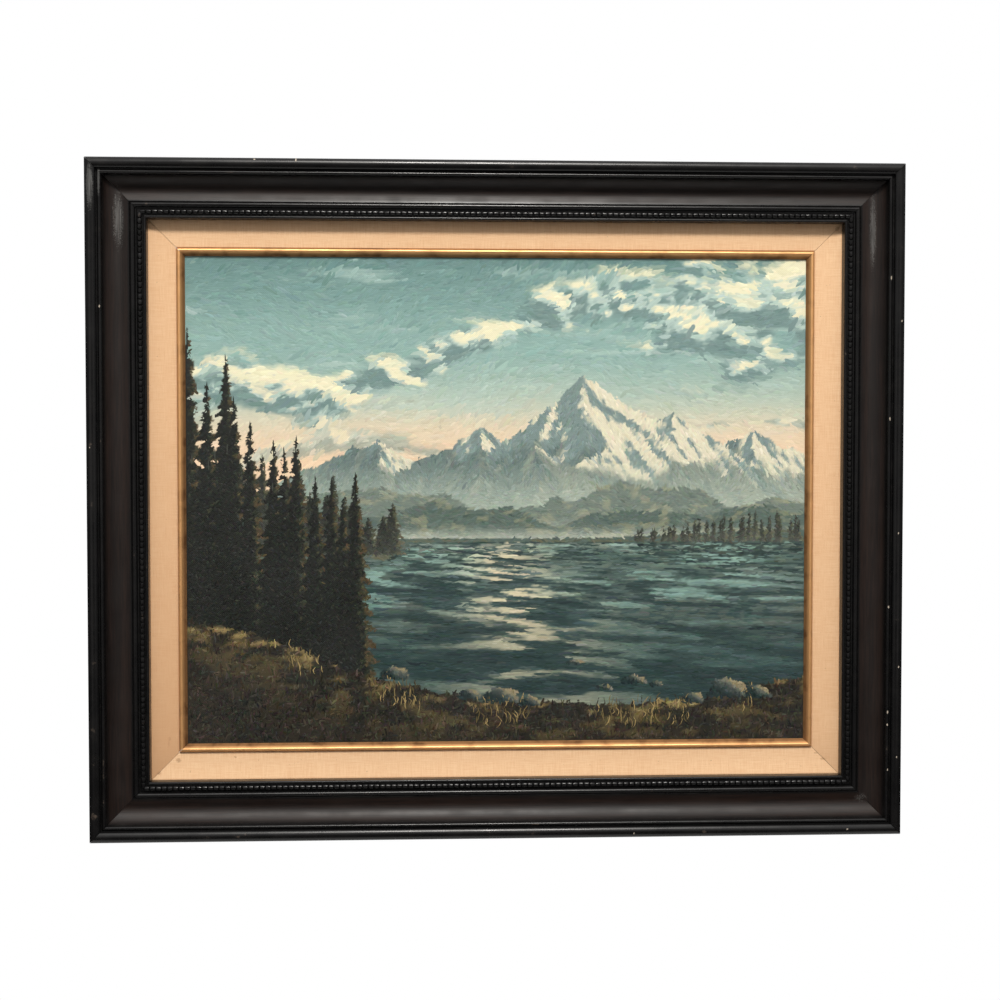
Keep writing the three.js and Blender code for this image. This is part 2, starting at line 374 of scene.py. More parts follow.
class Effects:
    """The effects that several finishes share, each a node group that is built once."""

    def __init__(self, layout: Layout) -> None:
        """Builds the groups for a frame of a layout.

        Args:
            layout: Where the frame stands.
        """
        self.layout = layout
        makers = {"grain": self._grain, "weave": self._weave, "wear": self._wear, "chip": self._chip}
        self.groups = {name: make() for name, make in makers.items()}

    def place(self, graph: Graph, effect: str, **inputs: Value) -> dict[str, Value]:
        """Adds an effect to a graph.

        Args:
            graph: The graph.
            effect: The effect's name: grain, weave, wear or chip.
            **inputs: Values by input name.

        Returns:
            Its outputs by name.
        """
        return graph.add("ShaderNodeGroup", {"node_tree": self.groups[effect]}, **inputs).outputs

    @staticmethod
    def _grain() -> NodeTree:
        """Wood grain along a vector's first axis: a Mask of dark lines and a Height of pores.

        Returns:
            The group.
        """
        inputs = {"Vector": (0, 0, 0), "Lines": 900.0, "Stretch": 0.04}
        graph, given, out = shader_group("Wood grain", inputs, "Mask", "Height")
        along = graph.vector("MULTIPLY", given["Vector"], graph.xyz(given["Stretch"], 1.0, 1.0))
        broad = graph.noise(along, graph.times(given["Lines"], 0.12), 3.0, 0.6)
        lines = graph.noise(along, given["Lines"], 4.0, 0.65)
        both = graph.plus(graph.times(lines, 0.6), graph.times(broad, 0.4))
        graph.fill(out, Mask=graph.band(both, 0.4, 0.62), Height=graph.band(lines, 0.3, 0.55))
        return graph.tree

    @staticmethod
    def _weave() -> NodeTree:
        """Plain weave on a vector in metres: the Height of its threads, their Tone, and thick Slubs.

        Returns:
            The group.
        """
        inputs = {"Vector": (0, 0, 0), "Pitch": 0.0009, "Unevenness": 0.3}
        graph, given, out = shader_group("Plain weave", inputs, "Height", "Tone", "Slubs")
        wander = graph.noise(given["Vector"], 160.0, 2.0)
        shift = graph.times(graph.minus(wander, 0.5), graph.times(given["Unevenness"], 3.0))
        pitch = given["Pitch"]
        counted = graph.parts(graph.vector("DIVIDE", given["Vector"], graph.xyz(pitch, pitch, pitch)))
        warp, weft = (graph.times(graph.plus(counted[axis], shift), math.pi) for axis in (0, 1))
        over = graph.times(graph.maths("SINE", warp), graph.maths("SINE", weft))
        along, across = (
            graph.noise(graph.vector("MULTIPLY", given["Vector"], squeeze), 1300.0, 3.0, 0.7)
            for squeeze in ((1.0, 0.035, 1.0), (0.035, 1.0, 1.0))
        )
        thick = graph.maths("MAXIMUM", graph.band(along, 0.64, 0.74), graph.band(across, 0.64, 0.74))
        tone = graph.times(graph.plus(along, across), 0.5)
        graph.fill(out, Height=graph.maths("MULTIPLY_ADD", over, 0.5, 0.5), Tone=tone, Slubs=thick)
        return graph.tree

    @staticmethod
    def _wear() -> NodeTree:
        """Rubbing on raised edges: a Mask where a crown's finish is worn through, and a Rub around it.

        Returns:
            The group.
        """
        inputs = {"Vector": (0, 0, 0), "Crown": 0.0, "Amount": 0.3, "Scale": 60.0}
        graph, given, out = shader_group("Edge wear", inputs, "Mask", "Rub")
        patches = graph.noise(given["Vector"], given["Scale"], 5.0, 0.65)
        reach = graph.plus(patches, graph.times(given["Crown"], given["Amount"]))
        rub = graph.times(graph.band(reach, 0.55, 0.95), given["Crown"])
        graph.fill(out, Mask=graph.band(reach, 0.86, 0.95), Rub=rub)
        return graph.tree

    @staticmethod
    def _chip() -> NodeTree:
        """A small ragged spot round a place: a Mask that is 1 inside it.

        Returns:
            The group.
        """
        inputs = {"Vector": (0, 0, 0), "Place": (0, 0, 0), "Reach": (0.002, 0.01, 0.002)}
        graph, given, out = shader_group("Chip", inputs, "Mask")
        offset = graph.vector("SUBTRACT", given["Vector"], given["Place"])
        inside = graph.length(graph.vector("DIVIDE", offset, given["Reach"]))
        ragged = graph.times(graph.noise(given["Vector"], 900.0, 3.0), 1.3)
        graph.fill(out, Mask=graph.band(graph.plus(inside, ragged), 1.5, 1.15))
        return graph.tree

    def spots(self, graph: Graph, here: Value, places: Sequence[tuple[Colour, Colour]]) -> Value:
        """Joins the masks of several small spots.

        Args:
            graph: The material's graph.
            here: Object coordinates.
            places: Places and reaches in millimetres, from the middle of the frame's back.

        Returns:
            The joined mask.
        """
        joined: Value = 0.0
        for place, reach in places:
            centre, size = self.layout.centre + Vector(place) * MM, Vector(reach) * MM
            spot = self.place(graph, "chip", Vector=here, Place=tuple(centre), Reach=tuple(size))
            joined = graph.maths("MAXIMUM", joined, spot["Mask"])
        return joined


# Finishes --------


@dataclass(frozen=True)
class Finish:
    """A surface finish that makes its own material.

    Attributes:
        name: The material's name.
        roughness: Roughness of the clean surface.
    """

    name: str
    roughness: float

    def started(self, **constants: Value) -> tuple[Material, Graph, Node]:
        """Starts the material.

        Args:
            **constants: Values for the shader's own sockets, with underscores for spaces.

        Returns:
            The material, its graph and its Principled node.
        """
        material = bpy.data.materials.new(self.name)
        material.use_nodes = True
        graph = Graph(material.node_tree)
        return material, graph, graph.fill(graph.tree.nodes["Principled BSDF"], **constants)


@dataclass(frozen=True)
class EbonisedWood(Finish):
    """Black-toned wood under wax, walnut brown where the toning was wiped from the cove.

    Attributes:
        black: Colour of the full toning.
        walnut: Colour of the wiped cove.
        walnut_dark: Colour of the dark lines in its grain.
        bare: Colour of wood or gesso in a chip.
        cove_dulling: How much rougher the cove is than the beads.
        chips: Places of the chips, each with its reach along X, Y and Z, in millimetres from the
            middle of the frame's back.
        haze_and_glints: Places of hazy rubbed patches and of painted reflections of the light down the coves,
            in the same way.
    """

    black: Colour = (0.0042, 0.0041, 0.0043)
    walnut: Colour = (0.0200, 0.0108, 0.0078)
    walnut_dark: Colour = (0.0080, 0.0046, 0.0036)
    bare: Colour = (0.42, 0.36, 0.29)
    cove_dulling: float = 0.19
    chips: tuple[tuple[Colour, Colour], ...] = (
        ((-223.0, -57.5, 373.5), (1.1, 4.0, 3.0)),
        ((-222.0, -55.0, 368.5), (0.8, 2.0, 2.6)),
        ((-268.0, -58.0, 374.0), (1.4, 3.0, 1.0)),
        ((437.4, -55.0, 249.0), (1.0, 3.0, 3.4)),
        ((448.5, -58.5, 201.0), (1.2, 3.0, 1.8)),
        ((437.0, -55.0, 92.0), (1.0, 3.0, 2.6)),
        ((446.5, -58.8, -36.0), (1.0, 3.0, 1.6)),
        ((437.2, -55.3, -119.0), (1.2, 3.0, 2.0)),
        ((448.0, -58.6, -186.0), (1.1, 3.0, 1.8)),
        ((437.0, -55.4, -238.0), (1.0, 3.0, 2.8)),
        ((436.8, -55.4, -252.0), (1.2, 3.0, 1.8)),
        ((446.6, -58.8, -288.0), (1.0, 3.0, 1.4)),
        ((437.4, -55.2, -303.0), (1.0, 3.0, 1.6)),
        ((391.0, -58.6, -369.0), (1.6, 3.0, 1.4)),
        ((150.0, -58.8, -371.0), (0.9, 3.0, 1.6)),
        ((-437.0, -55.2, 214.0), (1.0, 3.0, 2.2)),
        ((-448.0, -58.2, 60.0), (1.0, 3.0, 1.2)),
    )
    haze_and_glints: tuple[tuple[Colour, Colour], ...] = (
        ((412.0, -47.0, -338.0), (13.0, 14.0, 9.0)),
        ((-446.0, -57.0, 345.0), (5.0, 9.0, 34.0)),
        ((-437.0, -55.0, 352.0), (2.0, 5.0, 24.0)),
        # These two are painted reflections of the light, down the left and the right cove below the top
        # corners.
        ((-419.0, -43.0, 312.0), (8.0, 14.0, 44.0)),
        ((421.0, -43.0, 302.0), (4.6, 14.0, 56.0)),
    )

    def make(self, effects: Effects) -> Material:
        """Makes the material.

        Args:
            effects: The shared node groups.

        Returns:
            The material.
        """
        material, graph, shader = self.started(Specular_IOR_Level=0.3)
        here, run = graph.here(), graph.uv("Run")
        crown, hollow, walnut = (graph.attribute(name) for name in ("crown", "hollow", "walnut"))
        grain = effects.place(graph, "grain", Vector=run, Lines=700.0, Stretch=0.035)
        wiping = graph.noise(graph.vector("MULTIPLY", run, (2.5, 22.0, 1.0)), 1.0, 3.0)
        brown = graph.mixed(grain["Mask"], self.walnut_dark, self.walnut)
        share = graph.times(walnut, graph.band(wiping, 0.2, 0.75, 0.6, 1.0))
        colour = graph.mixed(share, self.black, brown)
        wear = effects.place(graph, "wear", Vector=here, Crown=crown, Amount=0.24, Scale=45.0)
        rubbed = graph.mixed(graph.times(wear["Rub"], 0.22), colour, (0.022, 0.020, 0.019))
        worn = graph.mixed(graph.times(wear["Mask"], 0.35), rubbed, (0.17, 0.13, 0.1))
        # Pale grey mixed in: hazy rubbed patches, and painted reflections of the light in the coves.
        haze_glint_mask = effects.spots(graph, here, self.haze_and_glints)
        streaks = graph.noise(graph.vector("MULTIPLY", here, (1.0, 0.2, 0.05)), 900.0, 3.0)
        with_haze_and_glints = graph.mixed(
            graph.times(haze_glint_mask, graph.band(streaks, 0.3, 0.8, 0.05, 0.18)), worn, (0.6, 0.6, 0.58)
        )
        dirt = graph.times(hollow, graph.band(graph.noise(here, 90.0, 3.0), 0.4, 0.8, 0.0, 0.35))
        dirty = graph.mixed(dirt, with_haze_and_glints, (0.012, 0.0105, 0.009))
        chipped = effects.spots(graph, here, self.chips)
        graph.fill(shader, Base_Color=graph.mixed(chipped, dirty, self.bare))
        satin = graph.maths("MULTIPLY_ADD", walnut, self.cove_dulling, self.roughness)
        cloud = graph.plus(satin, graph.band(graph.noise(here, 30.0, 4.0), 0.3, 0.7, -0.04, 0.05))
        dull = graph.maths("MULTIPLY_ADD", graph.maths("MAXIMUM", chipped, dirt), 0.4, cloud)
        graph.fill(shader, Roughness=dull)
        pores = graph.times(grain["Height"], graph.maths("MULTIPLY_ADD", walnut, 0.7, 0.3))
        peel = graph.noise(here, 1400.0, 2.0)
        relief = graph.plus(graph.times(pores, 0.5), graph.times(peel, 0.3))
        sunk = graph.minus(relief, graph.times(chipped, 2.5))
        graph.fill(shader, Normal=graph.bump(sunk, 0.35, 0.00012))
        return material


@dataclass(frozen=True)
class LinerLinen(Finish):
    """Unbleached plain-weave linen glued over the liner.

    Attributes:
        thread: Mean colour of the thread.
        pale: Colour of a pale thread.
        dark: Colour of a dark thread, a slub's shadow or a speck; also of the darkening towards a side's foot
            and of the painted shade at the moulding's lip and the inner fold.
        stain: Colour of an old stain.
        pitch: Distance from thread to thread, in millimetres.
        stains: Places of the stains, each with its reach along X, Y and Z, in millimetres from the
            middle of the frame's back.
    """

    thread: Colour = (0.76, 0.462, 0.255)
    pale: Colour = (0.878, 0.598, 0.357)
    dark: Colour = (0.52, 0.28, 0.135)
    stain: Colour = (0.27, 0.125, 0.05)
    pitch: float = 0.85
    stains: tuple[tuple[Colour, Colour], ...] = (
        ((-369.0, -24.0, -267.0), (2.2, 6.0, 3.2)),
        ((-370.0, -24.0, -272.0), (1.0, 6.0, 5.0)),
        ((-359.5, -24.0, -291.0), (4.0, 6.0, 3.4)),
        ((-381.0, -25.0, -305.0), (3.0, 6.0, 3.0)),
        ((-296.0, -24.0, -288.0), (1.8, 6.0, 1.4)),
        ((383.5, -25.0, 307.0), (4.0, 6.0, 3.6)),
        ((372.0, -24.0, -296.0), (5.0, 6.0, 1.6)),
        ((364.0, -24.0, -289.0), (4.0, 6.0, 1.4)),
    )

    def make(self, effects: Effects) -> Material:
        """Makes the material.

        Args:
            effects: The shared node groups.

        Returns:
            The material.
        """
        sheen = {"Sheen_Weight": 0.15, "Sheen_Roughness": 0.5}
        material, graph, shader = self.started(Roughness=self.roughness, **sheen)
        here, run = graph.here(), graph.uv("Run")
        weave = effects.place(graph, "weave", Vector=run, Pitch=self.pitch * MM, Unevenness=0.35)
        tone = graph.band(weave["Tone"], 0.36, 0.64)
        threads = graph.mixed(tone, self.thread, self.pale)
        between = graph.times(graph.band(weave["Height"], 0.45, 0.05), 0.22)
        woven = graph.mixed(between, threads, self.dark)
        slubs = graph.mixed(graph.times(weave["Slubs"], 0.25), woven, self.dark)
        specks = graph.band(graph.noise(here, 420.0, 1.0), 0.755, 0.80)
        speckled = graph.mixed(graph.times(specks, 0.5), slubs, (0.20, 0.11, 0.06))
        spotted = graph.mixed(
            graph.times(effects.spots(graph, here, self.stains), 0.45), speckled, self.stain
        )
        clouds = graph.band(graph.noise(here, 9.0, 3.0), 0.35, 0.7, 0.0, 0.10)
        aged = graph.mixed(clouds, spotted, self.dark)
        # Darker towards the foot of the left and the right rail.
        foot_darkened = graph.mixed(graph.attribute("darkened_foot"), aged, self.dark)
        # Painted shade: the hollow value darkens the linen next to the moulding's lip and where it turns down
        # at its inner edge.
        lip_shade = graph.attribute("hollow")
        lip_shaded = graph.mixed(graph.times(lip_shade, 0.45), foot_darkened, self.dark)
        graph.fill(shader, Base_Color=lip_shaded)
        height = graph.plus(weave["Height"], graph.times(weave["Slubs"], 0.7))
        graph.fill(shader, Normal=graph.bump(height, 0.55, 0.00022))
        return material


@dataclass(frozen=True)
class GiltLeaf(Finish):
    """Gold leaf, burnished on its crown and toned brown in its hollows, the brown on its slope to the picture
    being painted shade.

    Attributes:
        bright: Colour of burnished leaf.
        toned: Colour of the toning over it, also used as painted shade on the slope to the picture.
        bole: Colour of the red clay that shows where the leaf is rubbed.
    """

    bright: Colour = (0.84, 0.455, 0.19)
    toned: Colour = (0.15, 0.066, 0.024)
    bole: Colour = (0.30, 0.09, 0.04)

    def make(self, effects: Effects) -> Material:
        """Makes the material.

        Args:
            effects: The shared node groups.

        Returns:
            The material.
        """
        material, graph, shader = self.started(Metallic=0.72)
        here, run = graph.here(), graph.uv("Run")
        crown, hollow = graph.attribute("crown"), graph.attribute("hollow")
        brushed = graph.noise(graph.vector("MULTIPLY", run, (60.0, 2600.0, 1.0)), 1.0, 3.0)
        patches = graph.noise(here, 55.0, 4.0)
        # The hollows are toned brown; the same brown, growing down the slope to the picture, is painted shade
        # there.
        toning = graph.plus(graph.times(hollow, 0.75), graph.band(patches, 0.45, 0.75, 0.0, 0.3))
        toned = graph.mixed(graph.maths("MINIMUM", toning, 1.0), self.bright, self.toned)
        streaked = graph.mixed(graph.band(brushed, 0.35, 0.7, 0.0, 0.22), toned, self.toned)
        wear = effects.place(graph, "wear", Vector=here, Crown=crown, Amount=0.22, Scale=110.0)
        worn = graph.mixed(graph.times(wear["Mask"], 0.7), streaked, self.bole)
        graph.fill(shader, Base_Color=worn)
        rough = graph.band(patches, 0.3, 0.7, self.roughness - 0.05, self.roughness + 0.08)
        graph.fill(shader, Roughness=graph.maths("MULTIPLY_ADD", hollow, 0.2, rough))
        height = graph.plus(graph.times(brushed, 0.5), graph.noise(here, 900.0, 2.0))
        graph.fill(shader, Normal=graph.bump(height, 0.25, 0.0001))
        return material


@dataclass(frozen=True)
class PlainWood(Finish):
    """Bare wood on the back of the frame, the liner and the stretcher.

    Attributes:
        light: Colour between the grain's lines.
        dark: Colour of the lines.
        aged: Colour of handling and dust.
        lines: Lines of grain to the metre, across.
    """

    light: Colour = (0.62, 0.43, 0.25)
    dark: Colour = (0.38, 0.22, 0.105)
    aged: Colour = (0.22, 0.16, 0.11)
    lines: float = 420.0

    def make(self, effects: Effects, along: str = "Run") -> Material:
        """Makes the material.

        Args:
            effects: The shared node groups.
            along: "Run" where the piece has that UV map, or the axis of the grain, "X" or "Z".

        Returns:
            The material.
        """
        material, graph, shader = self.started()
        if along != "Run":
            material.name = f"{self.name} along {along}"
        here = graph.here()
        if along == "Run":
            vector = graph.uv("Run")
        else:
            x, y, z = graph.parts(here)
            vector = graph.xyz(x, z, y) if along == "X" else graph.xyz(z, x, y)
        grain = effects.place(graph, "grain", Vector=vector, Lines=self.lines, Stretch=0.03)
        wood = graph.mixed(grain["Mask"], self.dark, self.light)
        age = graph.band(graph.noise(here, 7.0, 5.0), 0.35, 0.75, 0.08, 0.42)
        graph.fill(shader, Base_Color=graph.mixed(age, wood, self.aged))
        rough = graph.band(grain["Height"], 0.0, 1.0, self.roughness + 0.1, self.roughness)
        graph.fill(shader, Roughness=rough)
        graph.fill(shader, Normal=graph.bump(grain["Height"], 0.4, 0.00015))
        return material


@dataclass(frozen=True)
class PlatedSteel(Finish):
    """Thin steel with a zinc or brass plating, spotted with age.

    Attributes:
        plate: Colour of the plating.
        spot: Colour of its tarnish.
    """

    plate: Colour = (0.62, 0.62, 0.60)
    spot: Colour = (0.20, 0.16, 0.12)

    def make(self, effects: Effects) -> Material:
        """Makes the material.

        Args:
            effects: The shared node groups.

        Returns:
            The material.
        """
        material, graph, shader = self.started()
        here = graph.here()
        tarnish = graph.band(graph.noise(here, 260.0, 5.0, 0.65), 0.5, 0.72)
        graph.fill(shader, Base_Color=graph.mixed(graph.times(tarnish, 0.75), self.plate, self.spot))
        graph.fill(shader, Metallic=graph.band(tarnish, 0.0, 1.0, 0.95, 0.45))
        graph.fill(shader, Roughness=graph.band(tarnish, 0.0, 1.0, self.roughness, self.roughness + 0.3))
        scratches = graph.noise(graph.vector("MULTIPLY", here, (1.0, 1.0, 0.12)), 2500.0, 2.0)
        graph.fill(shader, Normal=graph.bump(scratches, 0.12, 0.00005))
        return material


@dataclass(frozen=True)
class BareCanvas(Finish):
    """The unpainted back of the canvas, darkened by age.

    Attributes:
        thread: Colour of the cloth.
        shade: Colour between its threads.
        pitch: Distance from thread to thread, in millimetres.
    """

    thread: Colour = (0.60, 0.49, 0.34)
    shade: Colour = (0.33, 0.25, 0.16)
    pitch: float = 0.9

    def make(self, effects: Effects) -> Material:
        """Makes the material.

        Args:
            effects: The shared node groups.

        Returns:
            The material.
        """
        material, graph, shader = self.started(Roughness=self.roughness)
        here = graph.here()
        x, y, z = graph.parts(here)
        flat = graph.xyz(graph.plus(x, y), graph.plus(z, y))
        weave = effects.place(graph, "weave", Vector=flat, Pitch=self.pitch * MM, Unevenness=0.25)
        cloth = graph.mixed(graph.band(weave["Height"], 0.0, 0.6), self.shade, self.thread)
        toned = graph.mixed(graph.band(weave["Tone"], 0.4, 0.62, 0.0, 0.3), cloth, self.shade)
        foxing = graph.band(graph.noise(here, 14.0, 5.0), 0.55, 0.8, 0.0, 0.4)
        graph.fill(shader, Base_Color=graph.mixed(foxing, toned, (0.24, 0.15, 0.08)))
        graph.fill(shader, Normal=graph.bump(weave["Height"], 0.6, 0.0003))
        return material


@dataclass(frozen=True)
class OilPaint(Finish):
    """Oil paint under an old satin varnish, over the weave where it is thin.

    Attributes:
        body: How much of the weave the paint hides, from 0 to 1.
        pitch: Distance from thread to thread of the canvas, in millimetres.
    """

    body: float = 0.3
    pitch: float = 1.15

    def make(self, effects: Effects) -> Material:
        """Makes the material.

        Args:
            effects: The shared node groups.

        Returns:
            The material.
        """
        material, graph, shader = self.started(Coat_Weight=0.08, Coat_Roughness=0.3, Specular_IOR_Level=0.35)
        here, stroke = graph.here(), graph.uv("Stroke")
        x, _, z = graph.parts(here)
        flat = graph.xyz(x, z)
        weave = effects.place(graph, "weave", Vector=flat, Pitch=self.pitch * MM, Unevenness=0.2)
        hairs = graph.noise(graph.vector("MULTIPLY", stroke, (60.0, 1700.0, 1.0)), 1.0, 4.0, 0.6)
        colour = graph.attribute("pigment", "Color")
        lighter = graph.mixed(graph.band(hairs, 0.35, 0.75, 0.0, 0.22), colour, (1.0, 1.0, 1.0), "SOFT_LIGHT")
        darker = graph.mixed(graph.band(hairs, 0.62, 0.3, 0.0, 0.16), lighter, (0.0, 0.0, 0.0), "SOFT_LIGHT")
        sunk = graph.band(weave["Height"], 0.35, 0.0, 0.0, 0.16 * (1.0 - self.body))
        graph.fill(shader, Base_Color=graph.mixed(sunk, darker, (0.02, 0.022, 0.02), "MULTIPLY"))
        patches = graph.noise(here, 16.0, 3.0)
        rough = graph.band(patches, 0.3, 0.7, self.roughness - 0.05, self.roughness + 0.07)
        graph.fill(shader, Roughness=rough)
        relief = graph.maths("MULTIPLY_ADD", weave["Height"], 1.0 - self.body, graph.times(hairs, 1.3))
        graph.fill(shader, Normal=graph.bump(relief, 0.5, 0.00018))
        return material


# Sections and runs --------


@dataclass(frozen=True)
class Round:
    """A rounded ridge of a section.

    Attributes:
        centre: Inset of its centre line.
        radius: Its radius.
        crown: Rise of its crown.
    """

    centre: float
    radius: float
    crown: float

    def height(self, inset: float) -> float:
        """Rise of the round's surface at an inset."""
        side = min(abs(inset - self.centre), self.radius)
        return self.crown - self.radius + math.sqrt(self.radius**2 - side**2)


@dataclass
class Section:
    """A closed section with how raised, how sunk and how brown each of its corners is.

    Attributes:
        corners: The corners, each inset, rise, crown, hollow and walnut.
    """

    corners: list[tuple[float, float, float, float, float]] = field(default_factory=list)

    def corner(
        self, inset: float, rise: float, crown: float = 0.0, hollow: float = 0.0, walnut: float = 0.0
    ) -> None:
        """Adds a corner.

        Args:
            inset: Its inset.
            rise: Its rise.
            crown: How raised it is, from 0 to 1.
            hollow: How sunk it is, from 0 to 1.
            walnut: How brown it is, from 0 to 1.
        """
        self.corners.append((inset, rise, crown, hollow, walnut))

    def floor(self, hollow_place: Triple) -> None:
        """Adds the flat floor of a hollow, from its start, end and rise.

        Args:
            hollow_place: Its start, end and rise.
        """
        start, end, rise = hollow_place
        self.corner(start, rise, hollow=1.0)
        self.corner(end, rise, hollow=1.0)

    def over(self, shape: Round, start: float, end: float, steps: int) -> None:
        """Adds the corners over a round.

        Args:
            shape: The round.
            start: Inset where they begin.
            end: Inset where they end.
            steps: How many steps they take.
        """
        turns = [
            math.acos(max(-1.0, min(1.0, (inset - shape.centre) / shape.radius))) for inset in (start, end)
        ]
        for turn in np.linspace(turns[0], turns[1], steps + 1):
            rise = shape.crown - shape.radius * (1 - math.sin(turn))
            height = math.sin(turn)
            self.corner(
                shape.centre + shape.radius * math.cos(turn), rise, crown=height**2, hollow=(1 - height) * 0.8
            )


def smooth_line(points: Sequence[Pair], steps: int) -> Array:
    """Points of a smooth curve through a few points.

    Args:
        points: The points, each inset and rise.
        steps: How many steps the curve takes.

    Returns:
        Rows of inset and rise.
    """
    given = np.array([points[0], *points, points[-1]], dtype=float)
    out = []
    for place in np.linspace(0, len(points) - 1, steps + 1):
        i = min(int(place), len(points) - 2)
        t = place - i
        a, b, c, d = given[i : i + 4]
        out.append(
            0.5 * (2 * b + (c - a) * t + (2 * a - 5 * b + 4 * c - d) * t**2 + (3 * b - a - 3 * c + d) * t**3)
        )
    return np.array(out)


def mesh_from(
    name: str, vertices: Array, faces: Sequence[Sequence[int]], values: dict[str, Array] | None = None
) -> Mesh:
    """Makes a mesh with values on its vertices.

    Args:
        name: Its name.
        vertices: Rows of X, Y and Z in metres.
        faces: Vertex numbers of each face.
        values: Numbers for each vertex by attribute name.

    Returns:
        The mesh.
    """
    mesh = bpy.data.meshes.new(name)
    mesh.from_pydata(vertices.tolist(), [], [list(face) for face in faces])
    for label, numbers in (values or {}).items():
        store(mesh, label, numbers)
    return mesh


def store(mesh: Mesh, name: str, numbers: Array) -> None:
    """Stores a number on each vertex of a mesh."""
    mesh.attributes.new(name, "FLOAT", "POINT").data.foreach_set("value", numbers.astype(np.float32))


def read(data: bpy.types.bpy_prop_collection, name: str, width: int, kind: type = float) -> Array:
    """Reads a property of a mesh's elements.

    Args:
        data: The elements.
        name: The property.
        width: How many numbers it has.
        kind: The numbers' type.

    Returns:
        A row for each element.
    """
    rows = np.empty(len(data) * width, dtype=kind)
    data.foreach_get(name, rows)
    return rows.reshape(-1, width)


def unwrap(mesh: Mesh, name: str, places: Array) -> None:
    """Gives a mesh a UV map.

    Args:
        mesh: The mesh.
        name: The map's name.
        places: Rows of two coordinates, for each vertex or for each corner of the faces.
    """
    if len(places) == len(mesh.vertices):
        places = places[read(mesh.loops, "vertex_index", 1, np.int32)[:, 0]]
    mesh.uv_layers.new(name=name).data.foreach_set("uv", places.astype(np.float32).ravel())


def shade(mesh: Mesh, angle: float = 32.0) -> None:
    """Shades a mesh smoothly, with sharp edges past an angle in degrees."""
    mesh.shade_smooth()
    mesh.set_sharp_from_angle(angle=math.radians(angle))


def turn_outwards(mesh: Mesh) -> None:
    """Flips a closed mesh whose faces point inwards.

    Args:
        mesh: The mesh.
    """
    mesh.calc_loop_triangles()
    triangles = read(mesh.loop_triangles, "vertices", 3, np.int32)
    a, b, c = read(mesh.vertices, "co", 3)[triangles].transpose(1, 0, 2)
    if np.einsum("ij,ij->", a, np.cross(b, c)) < 0:
        mesh.flip_normals()


def piece(
    name: str, mesh: Mesh, materials: Sequence[Material], place: Matrix = Matrix.Identity(4)
) -> Object:
    """Makes an object at the origin with its place in its mesh.

    Args:
        name: The object's name.
        mesh: Its mesh.
        materials: Its materials in slot order.
        place: Where the mesh goes.

    Returns:
        The object.
    """
    mesh.name = name
    mesh.transform(place)
    mesh.materials.clear()
    for material in materials:
        mesh.materials.append(material)
    return linked(name, mesh)


def linked(name: str, data: bpy.types.ID) -> Object:
    """Makes an object of a mesh, a light or a camera and puts it in the scene.

    Args:
        name: The object's name.
        data: What it shows.

    Returns:
        The object.
    """
    made = bpy.data.objects.new(name, data)
    bpy.context.scene.collection.objects.link(made)
    return made


def as_part(made: Object, slot: str, *nodes: str) -> None:
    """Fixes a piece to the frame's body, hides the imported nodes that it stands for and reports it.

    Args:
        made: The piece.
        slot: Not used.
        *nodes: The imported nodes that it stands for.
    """
    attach(made, "root")
    if nodes:
        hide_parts(*nodes)
    log.info("%s: %d faces, stands for %s", made.name, len(made.data.polygons), ", ".join(nodes) or "nothing")


def evaluated(holder: Object) -> Mesh:
    """A plain mesh of what an object's modifiers make. The object is removed.

    Args:
        holder: The object.

    Returns:
        The mesh.
    """
    graph = bpy.context.evaluated_depsgraph_get()
    result = bpy.data.meshes.new_from_object(
        holder.evaluated_get(graph), preserve_all_data_layers=True, depsgraph=graph
    )
    holder.modifiers.clear()
    bpy.data.objects.remove(holder)
    return result


def geometry_tree(name: str, **inputs: str) -> tuple[Graph, bpy.types.NodeOutputs]:
    """Starts a geometry tree that takes a geometry and gives one.

    Args:
        name: The tree's name.
        **inputs: For each of its other inputs, the kind.

    Returns:
        The tree's graph and its input values.
    """
    graph = node_group("Geometry", name, {"Geometry": "Geometry", **inputs}, {"Geometry": "Geometry"})
    return graph, graph.add("NodeGroupInput").outputs


def grown(name: str, base: Mesh, graph: Graph, inputs: dict[str, object]) -> Mesh:
    """Runs a geometry tree on a mesh and keeps the result as a plain mesh.

    Args:
        name: The result's name.
        base: The mesh that goes into the tree.
        graph: The tree's graph.
        inputs: Values by input name.

    Returns:
        The resulting mesh.
    """
    holder = linked(f"{name}_holder", base)
    modifier = holder.modifiers.new("Tree", "NODES")
    modifier.node_group = graph.tree
    for item in graph.tree.interface.items_tree:
        if item.in_out == "INPUT" and item.name in inputs:
            modifier[item.identifier] = inputs[item.name]
    return evaluated(holder)


def close_tree(graph: Graph, geometry: Value, material: Value) -> None:
    """Ends a geometry tree with real faces of one material.

    Args:
        graph: The tree's graph.
        geometry: What the tree has made.
        material: The material that is set on it.
    """
    real = graph.out("GeometryNodeRealizeInstances", Geometry=geometry)
    finished = graph.out("GeometryNodeSetMaterial", Geometry=real, Material=material)
    graph.feed(graph.add("NodeGroupOutput").inputs[0], finished)


